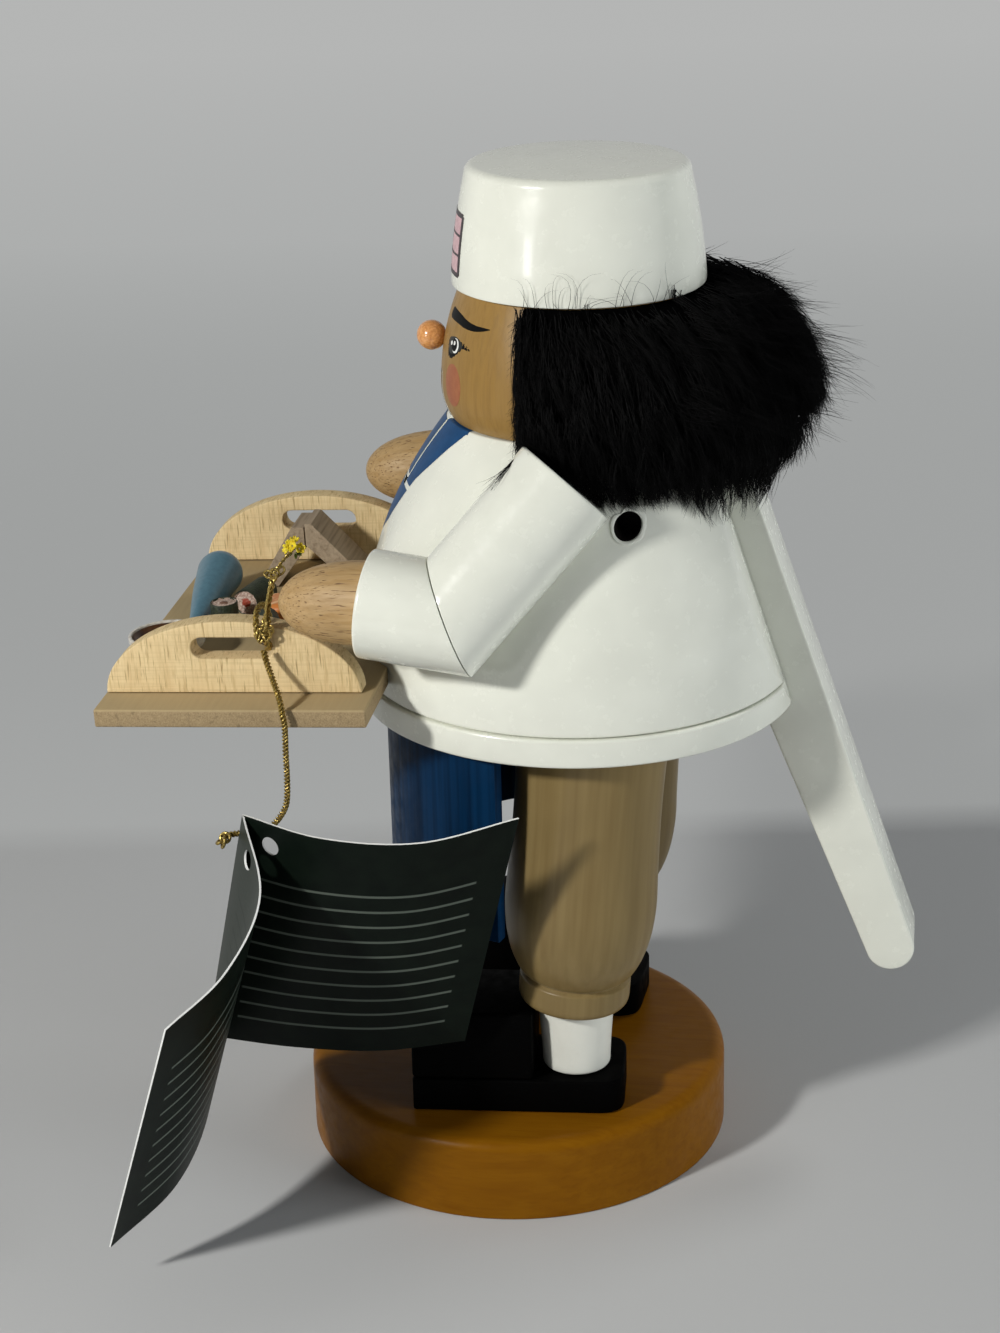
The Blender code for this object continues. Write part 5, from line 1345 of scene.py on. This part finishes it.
def make_face():
    """Painted eyes, brows and cheeks of a plain folk figure."""
    black = Look("paint_black", (0.004, 0.004, 0.004), 0.45, Specular_IOR_Level=0.08)
    grey = Look("paint_grey", (0.022, 0.024, 0.021), 0.34, Specular_IOR_Level=0.2)
    pale = Look("paint_white", (0.82, 0.83, 0.80), 0.30)
    for look in (black, grey, pale):
        look.bump(look.noise(900, detail=3), 0.00004)
    red = Look("paint_cheek", (0.44, 0.145, 0.085), 0.45)
    red.mottle((420, 4), 0.35, 0.65, (0.345, 0.125, 0.050), (0.300, 0.095, 0.041), 0.00004)
    lid = degrees_line([
        (18.5, 238.0), (22, 237.6), (27, 238.2), (33, 238.6), (38, 238.1), (43, 237.4), (49, 236.0),
        (46, 235.2), (41, 235.3), (37, 234.0), (33, 232.6), (29, 231.6), (25, 232.2), (22, 234.3),
    ])
    eyeball = degrees_line([
        (24.5, 236.3), (29, 237.3), (34, 237.3), (38.5, 236.0),
        (36, 234.4), (32, 233.3), (28, 232.9), (25.5, 233.9),
    ])
    brow = [(18.6, 242.4), (24, 242.3), (31, 242.0), (38, 241.4), (45, 241.2), (51, 241.5), (55, 241.8)]
    brow = smooth_pairs(degrees_line(brow), 5)
    taper = [0.00165 * (1 - (k / (len(brow) - 1)) ** 1.7) + 0.00008 for k in range(len(brow))]
    taper[0] = 0.0013
    patches = (      # name, outline, paint, height over the wood, doming
        ("eye_rim", smooth_loop(lid, 6), black, 0.00004, 0.00003),
        ("eye_white", smooth_loop(eyeball, 6), grey, 0.00010, 0.00003),
        ("iris", smooth_loop(oval(32.2, 235.3, 3.2, 1.9, 12), 4), pale, 0.00014, 0.00002),
        ("pupil", smooth_loop(oval(31.4, 235.4, 2.7, 1.6, 12), 4), black, 0.00018, 0.00003),
        ("glint_low", smooth_loop(oval(28.4, 235.6, 0.9, 0.55, 10), 3), pale, 0.00023, 0.00003),
        ("glint_high", smooth_loop(oval(31.4, 235.9, 0.9, 0.55, 10), 3), pale, 0.00023, 0.00003),
        ("cheek", oval(32.2, 225.0, 7.6, 5.6, 28), red, 0.00004, 0.00003),
    )
    for side, word in SIDES:
        place = on_head(side)
        for name, outline, look, lift, dome in patches:
            dress(
                ring_patch(f"{word}_{name}", outline, place, lift, dome), look, "figure", [], 60,
            )
        dress(stroke_patch(word + "_brow", brow, taper, place, 0.00022), black, "figure", [], 60)


def band_patch(name, rows, surface, lift, columns=24):
    """A thin coat on a turned surface between two azimuths at each height."""
    verts = []
    for z, low, high in rows:
        verts += [surface(low + (high - low) * k / columns, z, lift) for k in range(columns + 1)]
    return facing_out(solid(name, verts, quads(len(rows), columns + 1)))


def between(pairs, value):
    """Straight-line reading of a table of value pairs."""
    return float(np.interp(value, [p[0] for p in pairs], [p[1] for p in pairs]))


def stretch(low, high, count):
    """Evenly spaced values from one to another."""
    return [low + (high - low) * k / count for k in range(count + 1)]


def make_collar(navy, skin):
    """The blue collar on the tunic's front and the jaw's lower half, and the skin on its upper half."""
    bell = lambda azimuth, z, lift: surface_point(tunic_radius, BODY_Y, azimuth, z, lift)
    rim_foot = CHIN - BELL_EDGE
    rim = [(tunic_radius(rim_foot), rim_foot), (tunic_radius(CHIN), CHIN), (HEAD_CHIN_R - COLLAR_REACH, CHIN)]
    rim = rounded(rim, [0, BELL_EDGE, 0], 4)
    over_rim = lambda azimuth, k, lift: surface_point(
        lambda h: rim[k][0], BODY_Y, azimuth, rim[k][1] + lift, lift
    )
    for side, word in SIDES:
        inner = lambda r: side * np.arcsin(COLLAR_GAP / r)
        rows = [(k, inner(r), side * radians(COLLAR_EDGE[-1][1])) for k, (r, z) in enumerate(rim)]
        patch = band_patch(word + "_collar_rim", rows, over_rim, PAINT_LIFT)
        dress(patch, navy, "figure", [], 60)
        heights = stretch(JAW_FOOT_Z - 0.0006, CHIN - 0.0007, 30)
        rows = [(z, inner(tunic_radius(z)), side * radians(between(COLLAR_EDGE, z))) for z in heights]
        dress(band_patch(word + "_collar", rows, bell, PAINT_LIFT), navy, "figure", [], 60)
    edges = [
        (z, radians(between(COLLAR_EDGE, z))) for z in stretch(COLLAR_EDGE[0][0], JAW_FOOT_Z - 0.0018, 24)
    ]
    rows = [(z, -edge, edge) for z, edge in edges]
    dress(band_patch("collar_point", rows, bell, PAINT_LIFT), navy, "figure", [], 60)

    jaw_radius = lambda z: head_radius(z) if z > CHIN else tunic_radius(z) + BODY_SHIFT
    front = lambda azimuth, z, lift: surface_point(jaw_radius, HEAD_Y, azimuth, z, lift)
    half = LEVER_WIDTH / 2 - 0.0003
    for name, look, low, high in (
        ("jaw_collar", navy, JAW_FOOT_Z + 0.0008, CHIN - 0.0004),
        ("jaw_skin", skin, CHIN + 0.0001, JAW_TOP_Z - 0.0003),
    ):
        edges = [(z, float(np.arcsin(half / jaw_radius(z)))) for z in stretch(low, high, 16)]
        rows = [(z, -edge, edge) for z, edge in edges]
        dress(band_patch(name, rows, front, JAW_PAINT_LIFT), look, "lever", [], 60)


def make_emblem():
    """A plain framed lattice painted on the cap's front, with nothing written in it."""
    frame_black = Look("emblem_frame", (0.03, 0.018, 0.022), 0.35)
    frame_black.bump(frame_black.noise(900, detail=3), 0.00003)
    pink = Look("emblem_field", (0.62, 0.42, 0.44), 0.40)
    pink.mottle((700, 3), 0.35, 0.65, (0.66, 0.45, 0.47), (0.54, 0.34, 0.37))
    cap = lambda azimuth, z, lift: surface_point(lambda h: cap_radius(z), HEAD_Y, azimuth, z + SEAT, lift)
    low, high, reach = EMBLEM_FOOT, EMBLEM_TOP, EMBLEM_HALF
    heights = np.linspace(low, high, 20)
    field = [(z, -reach, reach) for z in heights]
    dress(band_patch("emblem_field", field, cap, 0.00006, 40), pink, "figure", [], 60)
    bars = []
    for z, thick in (
        (low, 0.0006), (high, 0.0006), ((low * 2 + high) / 3, 0.0003), ((low + high * 2) / 3, 0.0003),
    ):
        bars.append([(h, -reach, reach) for h in (z - thick, z, z + thick)])
    for azimuth, thick in ((-reach, 1.3), (reach, 1.3), (-reach / 3, 0.6), (reach / 3, 0.6)):
        bars.append([(z, azimuth - radians(thick), azimuth + radians(thick)) for z in heights])
    for k, rows in enumerate(bars):
        bar = band_patch(f"emblem_bar_{k}", rows, cap, 0.00012, 40)
        dress(bar, frame_black, "figure", [], 60)


def hull_radius(z):
    """The fur's outer radius about its own axis at a height, down to the tips of its lowest tufts."""
    middle = [(CHIN + h, r) for h, r in reversed(HAIR_PROFILE)]
    profile = [(CHIN - 0.0260, 0.0330), *middle, (CHIN + 0.0390, 0.0200)]
    return np.interp(z, [p[0] for p in profile], [p[1] for p in profile])


def clear_of_body(points):
    """Points pushed out of the head, cap, bell and arms, and kept off the lever's way."""
    x, y, z = (points[..., i].copy() for i in range(3))
    for radius, axis_y, inside in (
        (crown_radius(z) + 0.0002, HEAD_Y, (z > CHIN) & (z < CAP_FOOT)),
        (cap_radius(z) + 0.00035, HEAD_Y, (z > CAP_FOOT - 0.0004) & (z < CAP_FOOT + CAP_H)),
        (tunic_radius(z) + 0.0003, BODY_Y, z <= CHIN + 0.0003),
    ):
        dx, dy = x, y - axis_y
        r = np.maximum(np.hypot(dx, dy), 1e-6)
        scale = np.where(inside & (r < radius), radius / r, 1.0)
        x, y = dx * scale, axis_y + dy * scale
    moved = np.stack([x, y, z], axis=-1)
    for side, _ in SIDES:
        shoulder, elbow = (np.array(mirrored(p, side)) for p in (SHOULDER, ELBOW))
        line = elbow - shoulder
        along = ((moved - shoulder) @ line) / (line @ line)
        foot = shoulder + np.clip(along, 0, 1)[..., None] * line
        away = moved - foot
        reach = np.linalg.norm(away, axis=-1)
        near = (along > -0.01) & (along < 1) & (reach < ARM_R + 0.0002)
        clear = foot + away * ((ARM_R + 0.0003) / np.maximum(reach, 1e-6))[..., None]
        moved = np.where(near[..., None], clear, moved)
    roof = CHIN + 0.0018       # above the lever; hairs near its middle are lifted, the others are moved aside
    over_lever = (np.abs(moved[..., 0]) < 0.0118) & (moved[..., 1] > 0.030) & (moved[..., 2] < roof)
    moved[..., 2] = np.where(over_lever & (np.abs(moved[..., 0]) < 0.0075), roof, moved[..., 2])
    aside = over_lever & (moved[..., 2] < roof - 0.0003)
    moved[..., 0] = np.where(aside, np.sign(moved[..., 0]) * 0.0122, moved[..., 0])
    return moved


def strand_mesh(name, paths, radii, marks):
    """Tapered three-sided strands along paths, one material index for each."""
    n, k, _ = paths.shape
    tangent = np.gradient(paths, axis=1)
    tangent /= np.maximum(np.linalg.norm(tangent, axis=2, keepdims=True), 1e-9)
    side = np.cross(tangent, np.array((0.31, 0.52, 0.79)))
    side /= np.maximum(np.linalg.norm(side, axis=2, keepdims=True), 1e-9)
    other = np.cross(tangent, side)
    width = radii[:, None, None] * np.linspace(1.0, 0.12, k)[None, :, None]
    rings = [paths + width * (side * cos(a) + other * sin(a)) for a in (0, 2 * pi / 3, 4 * pi / 3)]
    verts = np.stack(rings, axis=2).reshape(-1, 3)
    one = np.array(quads(k, 3, across=True))
    faces = (np.arange(n)[:, None, None] * (k * 3) + one).reshape(-1, 4)
    mesh = bpy.data.meshes.new(name)
    mesh.vertices.add(len(verts))
    mesh.vertices.foreach_set("co", verts.ravel())
    mesh.loops.add(faces.size)
    mesh.loops.foreach_set("vertex_index", faces.ravel())
    mesh.polygons.add(len(faces))
    mesh.polygons.foreach_set("loop_start", np.arange(0, faces.size, 4))
    mesh.polygons.foreach_set("material_index", np.repeat(marks, len(one)))
    mesh.update(calc_edges=True)
    mesh.validate()
    return linked(name, mesh)


def bent_paths(root, tip, bend, count=6):
    """Quadratic curves from roots to tips by way of a bend."""
    t = np.linspace(0, 1, count)[None, :, None]
    return (1 - t) ** 2 * root[:, None] + 2 * t * (1 - t) * bend[:, None] + t**2 * tip[:, None]


def outward(azimuth):
    return np.stack([np.sin(azimuth), -np.cos(azimuth), 0 * azimuth], axis=-1)


def tuft_paths(tufts, each, low, high, back_of, depth, length, flow, over, gather):
    """Tufts rooted under the fur's hull: they rise outward, fall back, and draw together at their tips."""
    axis = np.array((0.0, HEAD_Y + HAIR_BACK, 0.0))
    z = CHIN + low + (high - low) * dice.random(tufts)
    start = np.arccos(np.clip((axis[1] - HAIR_FRONT) / hull_radius(z), -1, 1))
    start = np.maximum(np.maximum(start, back_of), FUR_START)
    azimuth = start + (FUR_END - start) * dice.random(tufts)
    out = outward(azimuth)
    under_cap = CAP_FOOT - 0.0016 - 0.004 * dice.random(tufts)
    z = np.where(azimuth < CAP_LIMIT, np.minimum(z, under_cap), z)
    floor = CHIN - 0.0135 - 0.0115 * np.clip((azimuth - 1.95) / 0.35, 0, 1)
    z = np.maximum(z, floor + 0.0045)
    upper = np.clip((z - CHIN - 0.020) / 0.015, 0, 1)[:, None]
    run = out * (flow[0] + 0.35 * upper) + np.array((0, 1, 0)) * (flow[1] + 0.30 * upper)
    run += np.array((0, 0, -1)) * (flow[2] - 0.40 * upper) + dice.normal(0, 0.13, (tufts, 3))
    run /= np.linalg.norm(run, axis=1, keepdims=True)
    root = axis + out * (hull_radius(z) - dice.uniform(*depth, tufts))[:, None]
    root[:, 2] = z
    reach = dice.uniform(*length, tufts)
    fall = np.maximum(-run[:, 2], 0.05)
    reach = np.minimum(reach, (z - floor + 0.0015 * dice.random(tufts)) / fall)[:, None]
    tip = root + run * reach
    away = tip - axis
    away[:, 2] = 0
    span = np.linalg.norm(away, axis=1, keepdims=True)
    limit = hull_radius(tip[:, 2])[:, None] + over * dice.random((tufts, 1)) ** 1.5
    tip = tip - away / span * np.maximum(span - limit, 0)
    which = np.repeat(np.arange(tufts), each)
    count = len(which)
    root_one = root[which] + dice.normal(0, 0.0014, (count, 3))
    tip_one = tip[which] + dice.normal(0, gather, (count, 3))
    tip_one = root_one + (tip_one - root_one) * (1 - 0.28 * dice.random((count, 1)) ** 2)
    bend = root_one + (tip_one - root_one) * 0.45 + out[which] * reach[which] * 0.16
    return bent_paths(root_one, tip_one, bend)


def cover_paths(tufts, each):
    """Tufts rooted on the head itself, closest near the fur's front edge, so that no skin shows."""
    z = CHIN + 0.0025 + (HEAD_H - 0.0030) * dice.random(tufts)
    radius = crown_radius(z)
    start = np.arccos((HEAD_Y - HAIR_FRONT) / radius)
    azimuth = start + (pi - start) * dice.random(tufts) ** 2.2
    out = outward(azimuth)
    root = out * (radius + 0.0004)[:, None] + np.array((0, HEAD_Y, 0))
    root[:, 2] = z
    run = out * dice.uniform(0.30, 0.75, (tufts, 1)) + np.array((0, 0.22, -0.85))
    run += dice.normal(0, 0.10, (tufts, 3))
    run /= np.linalg.norm(run, axis=1, keepdims=True)
    tip = root + run * dice.uniform(0.008, 0.015, (tufts, 1))
    tip[:, 2] = np.maximum(tip[:, 2], CHIN - 0.0100)
    which = np.repeat(np.arange(tufts), each)
    root_one = root[which] + dice.normal(0, 0.0010, (len(which), 3))
    tip_one = tip[which] + dice.normal(0, 0.0008, (len(which), 3))
    bend = root_one + (tip_one - root_one) * 0.4 + out[which] * 0.0022
    return bent_paths(root_one, tip_one, bend)


def cap_wisps(count):
    """Loose curved hairs that lie over the cap's side from its rim."""
    azimuth = radians(70) + radians(74) * dice.random(count)
    z = CAP_FOOT + 0.0008 * dice.random(count)
    turn = dice.uniform(radians(-9), radians(9), count)
    curl = dice.uniform(radians(-14), radians(14), count)
    rise = dice.uniform(0.003, 0.015, count)
    steps = np.linspace(0, 1, 6)[None, :]
    a = azimuth[:, None] + turn[:, None] * steps + curl[:, None] * steps**2.5
    h = z[:, None] + rise[:, None] * (steps - 0.35 * steps**3)
    lift = CAP_FOOT_R + 0.0005 + 0.0006 * dice.random((count, 1))
    return np.stack([lift * np.sin(a), HEAD_Y - lift * np.cos(a), h], axis=-1)


def front_hairs(count):
    """Short hairs that stand out of the fur's front face over the skin."""
    z = CHIN - 0.003 + (HEAD_H + 0.002) * dice.random(count)
    reach = HEAD_Y + HAIR_BACK - HAIR_FRONT
    outer = np.sqrt(np.maximum(hull_radius(z) ** 2 - reach**2, HEAD_R**2 * 0.9))
    inner = 0.0345
    x = inner + (np.maximum(outer, inner + 0.0015) - inner) * dice.random(count)
    root = np.stack([x, HAIR_FRONT + 0.0010 + 0 * x, z], axis=-1)
    length = 0.0016 + 0.0036 * dice.random(count) ** 2
    fall = dice.uniform(0.3, 1.6, count)
    run = np.stack([dice.uniform(-0.5, 0.2, count), -1 + 0 * x, -fall], axis=-1)
    tip = root + run / np.linalg.norm(run, axis=1, keepdims=True) * length[:, None]
    bend = (root + tip) / 2 + np.array((0.0, -0.0004, 0.0004))
    return bent_paths(root, tip, bend)


def uneven_front(count):
    """How far forward each hair may come, a little different for each."""
    return HAIR_FRONT - 0.0016 + 0.0034 * dice.random((count, 1))


def make_wig(core_look):
    """The fur's dark core, and a thin dark skin on the head under the hair."""
    shrink = 0.0062
    profile = [
        (max(r - shrink, 0.018), CHIN + h - (0.0015 if k == 0 else 0)) for k, (h, r) in enumerate(HAIR_PROFILE)
    ]
    profile = smooth_pairs(profile, 5)
    core = revolve(
        "fur_core", [(0, profile[0][1]), *profile, (0, profile[-1][1])], 96, (0, HEAD_Y + HAIR_BACK, 0),
    )
    arms = []
    for side, _ in SIDES:
        shoulder, elbow = (mirrored(p, side) for p in (SHOULDER, ELBOW))
        arms.append(
            rod("arm_way", ARM_R + 0.0005, elbow, shoulder + (shoulder - elbow).normalized() * 0.0005),
        )
    cap_r, cap_z, way_width = CAP_FOOT_R + 0.0004, CAP_FOOT - 0.0003, LEVER_GROWN + 0.003
    lever_way = lambda: block("way", (way_width, 0.09, 0.06), (0, 0.075, CHIN + 0.0020 - 0.03))
    cut(
        core, half_space((0, HAIR_FRONT + 0.0014, CHIN), (0, -1, 0)),
        revolve("head_way", head_profile(0.0005, 0.002), TURN, (0, HEAD_Y, SEAT)),
        revolve("cap_way", [(0, 0.30), (cap_r, 0.30), (cap_r, cap_z), (0, cap_z)], TURN, (0, HEAD_Y, 0)),
        revolve("bell_way", tunic_profile(0.0005, 0.0005), TURN, (0, BODY_Y, 0)), *arms, lever_way(),
    )
    dress(core, core_look, "figure", ["hair"], 60)
    ground = revolve("fur_ground", head_profile(0.0014), 96, (0, HEAD_Y, SEAT))
    mouth_way = block("mouth_way", (way_width, 0.09, 0.08), (0, 0.030, CHIN + 0.0130 - 0.04))
    cut(
        ground, half_space((0, HAIR_FRONT + 0.0010, CHIN), (0, -1, 0)), half_space((0, 0, cap_z), (0, 0, 1)),
        half_space((0, 0, CHIN + 0.0010), (0, 0, -1)),
        revolve("head_way", head_profile(0.0003, 0.002), TURN, (0, HEAD_Y, SEAT)), lever_way(), mouth_way,
    )
    dress(ground, core_look, "figure", ["hair"], 60)


def make_hair():
    """A fur wig: a dark core, and tapered strands that rise outward, then fall back and down in tufts."""
    core_look = Look("fur_core", (0.0012, 0.0012, 0.0013), 1.0, Specular_IOR_Level=0.0)
    core_look.bump(core_look.noise((700, 700, 120), detail=4), 0.0006)
    black = Look("fur_black", (0.0020, 0.0020, 0.0021), 0.60, Specular_IOR_Level=0.09)
    black.mottle((500, 2), 0, 1, (0.0012, 0.0012, 0.0013), (0.0032, 0.0032, 0.0034))
    # A few grey strands: pale grey hairs, whose paleness also stands for painted glints on the black fur.
    grey = Look("fur_glint", (0.020, 0.020, 0.022), 0.50, Specular_IOR_Level=0.25)
    grey.mottle((500, 2), 0, 1, (0.030, 0.030, 0.032), (0.120, 0.120, 0.125))
    make_wig(core_look)

    def strands(name, paths, widths, marks, looks=(black, grey)):
        dress(strand_mesh(name, paths, widths, marks.astype(int)), looks, "figure", ["hair"], 180)

    for side, word in SIDES:
        for name, width, share, *shape in FUR_LAYERS:
            paths = tuft_paths(*shape)
            count = len(paths)
            front = uneven_front(count)
            x, y, z = (paths[..., i] for i in range(3))
            np.maximum(y, front, out=y)
            z[:] = np.where(y < HEAD_Y + 0.012, np.minimum(z, CAP_FOOT - 0.0006), z)
            np.maximum(z, CHIN - 0.0275, out=z)
            x[:] = np.maximum(x, -0.001) * side
            paths = clear_of_body(paths)
            paths[..., 1] = np.maximum(paths[..., 1], front)
            marks = dice.random(count) < share
            strands(f"fur_{name}_{word}", paths, width * dice.uniform(0.75, 1.25, count), marks)
        paths = cover_paths(COVER_TUFTS, COVER_EACH)
        count = len(paths)
        paths[..., 1] = np.maximum(paths[..., 1], uneven_front(count))
        paths[..., 0] *= side
        widths = 0.00012 * dice.uniform(0.75, 1.25, count)
        strands(f"fur_cover_{word}", clear_of_body(paths), widths, dice.random(count) < 0.02)
        loose = np.concatenate([cap_wisps(CAP_WISPS), front_hairs(FRONT_HAIRS)])
        loose[..., 0] *= side
        marks = np.concatenate([np.ones(CAP_WISPS), dice.random(FRONT_HAIRS) < 0.1])
        strands(f"fur_loose_{word}", clear_of_body(loose), 0.00008 * np.ones(len(loose)), marks)
    count = STRAY_HAIRS
    stray = np.array(STRAY_TUFT) + np.zeros((count, 1, 1))
    stray += dice.normal(0, 0.0010, (count, 3, 3)) * np.array((0.3, 0.7, 1.6))[None, :, None]
    paths = bent_paths(stray[:, 0], stray[:, 2], stray[:, 1])
    strands("fur_stray", paths, 0.00013 * np.ones(count), np.zeros(count), (black,))


def card_panel(name, top, foot, hole, through, looks, body, node, hand):
    """A bent card with pale cut edges and a punched hole, dark inside and greyer outside."""
    columns, rows = 12, 36
    upper, lower = (smooth_line(run, columns) for run in (top, foot))
    verts, sheet = [], []
    count = len(upper)
    for i in range(count):
        for t in [k / rows for k in range(rows + 1)]:
            verts.append(upper[i].lerp(lower[i], t))
            sheet.append((i / (count - 1), t, 0.0))
    made = solid(name, verts, quads(count, rows + 1, flip=hand < 0))
    tree = KDTree(len(verts))
    for k, vert in enumerate(verts):
        tree.insert(vert, k)
    tree.balance()
    wall = made.modifiers.new("wall", "SOLIDIFY")
    wall.thickness = CARD_WALL
    wall.offset = 0
    wall.material_offset = 1
    wall.material_offset_rim = 2
    along = Vector(through).normalized() * 0.004
    cutter = rod("hole", CARD_HOLE_R, Vector(hole) - along, Vector(hole) + along, steps=40)
    for look in looks:
        made.data.materials.append(look.material)
        cutter.data.materials.append(look.material)
    for face in cutter.data.polygons:
        face.material_index = 2
    cut(made, cutter)
    store = made.data.attributes.new("sheet", "FLOAT_VECTOR", "POINT")
    nearest = [sheet[tree.find(v.co)[1]] for v in made.data.vertices]
    store.data.foreach_set("vector", np.array(nearest).ravel())
    marks = [p.material_index for p in made.data.polygons]
    dress(made, looks, body, [node], 40)
    made.data.polygons.foreach_set("material_index", marks)


def ruled(look, tone, line_tone):
    """Plain ruled lines within a card's margins, from the place across and down its sheet."""
    where = look.node("ShaderNodeAttribute", attribute_name="sheet").outputs["Vector"]
    split = look.node("ShaderNodeSeparateXYZ", {"Vector": where})
    across, down = split.outputs[0], split.outputs[1]
    wave = look.math("PINGPONG", look.math("MULTIPLY", look.math("SUBTRACT", down, 0.17), 14.0), 0.5)
    mask = look.remap(wave, 0.05, 0.09, 1, 0)
    for place, low, high in (
        (across, 0.10, 0.105), (across, 0.90, 0.895), (down, 0.19, 0.195), (down, 0.93, 0.925),
    ):
        mask = look.math("MULTIPLY", mask, look.remap(place, low, high))
    look.set("Base Color", look.mix(mask, tone, line_tone))


def make_card():
    """The folded card: two bent panels that meet at a crease."""
    inside = Look("card_inside", (0.004, 0.007, 0.005), 0.40, Specular_IOR_Level=0.08)
    tone = inside.mix(
        inside.remap(inside.noise(160, detail=4), 0.3, 0.7), (0.003, 0.0055, 0.004), (0.005, 0.009, 0.006),
    )
    ruled(inside, tone, (0.10, 0.12, 0.10))
    inside.bump(inside.noise(1500, detail=3), 0.00002)
    outside = Look("card_outside", (0.026, 0.032, 0.026), 0.38, Specular_IOR_Level=0.18)
    fibres = outside.noise(900, detail=4)
    tone = outside.mix(outside.remap(fibres, 0.3, 0.7), (0.029, 0.036, 0.029), (0.021, 0.027, 0.021))
    ruled(outside, tone, (0.010, 0.014, 0.011))
    outside.bump(fibres, 0.00002)
    edge = Look("card_edge", (0.80, 0.81, 0.79), 0.65)
    edge.bump(edge.noise(2500, detail=3), 0.00004)
    looks = [inside, outside, edge]
    for name, top, foot, hole, through, body, hand in (
        ("card_back", BACK_PANEL_TOP, BACK_PANEL_FOOT, BACK_HOLE, (1, -0.35, 0.1), "tag", 1),
        ("card_front", FRONT_PANEL_TOP, FRONT_PANEL_FOOT, FRONT_HOLE, (-0.3, 1, 0.3), "tag_cover", -1),
    ):
        card_panel(name, top, foot, hole, through, looks, body, name + "_panel", hand)


make_camera()
make_light()
make_floor()
gold = make_cords()
make_flower(gold)
make_card()
white = gloss_paint("white_lacquer", LACQUER)
thick = gloss_paint("white_thick", LACQUER, brush=(220, 220, 220), strokes=0.00001, lumps=0.00018)
skin = plain_wood(
    "skin_wood", (0.305, 0.180, 0.050), (0.275, 0.158, 0.042), (60, 60, 6), (800, 800, 30), 0.38,
)
navy = Look("collar_navy", (0.007, 0.050, 0.145), 0.40, Specular_IOR_Level=0.12)
navy.mottle((300, 4), 0.3, 0.7, (0.008, 0.050, 0.140), (0.012, 0.066, 0.180), 0.00002, ((60, 60, 1400), 2))
make_base()
make_feet()
make_lever(thick)
make_pin(thick)
make_dowels()
make_body(white)
make_apron()
make_head(white, skin)
make_face()
make_collar(navy, skin)
make_emblem()
make_hair()
make_arms(thick)
make_tray()
make_meal()
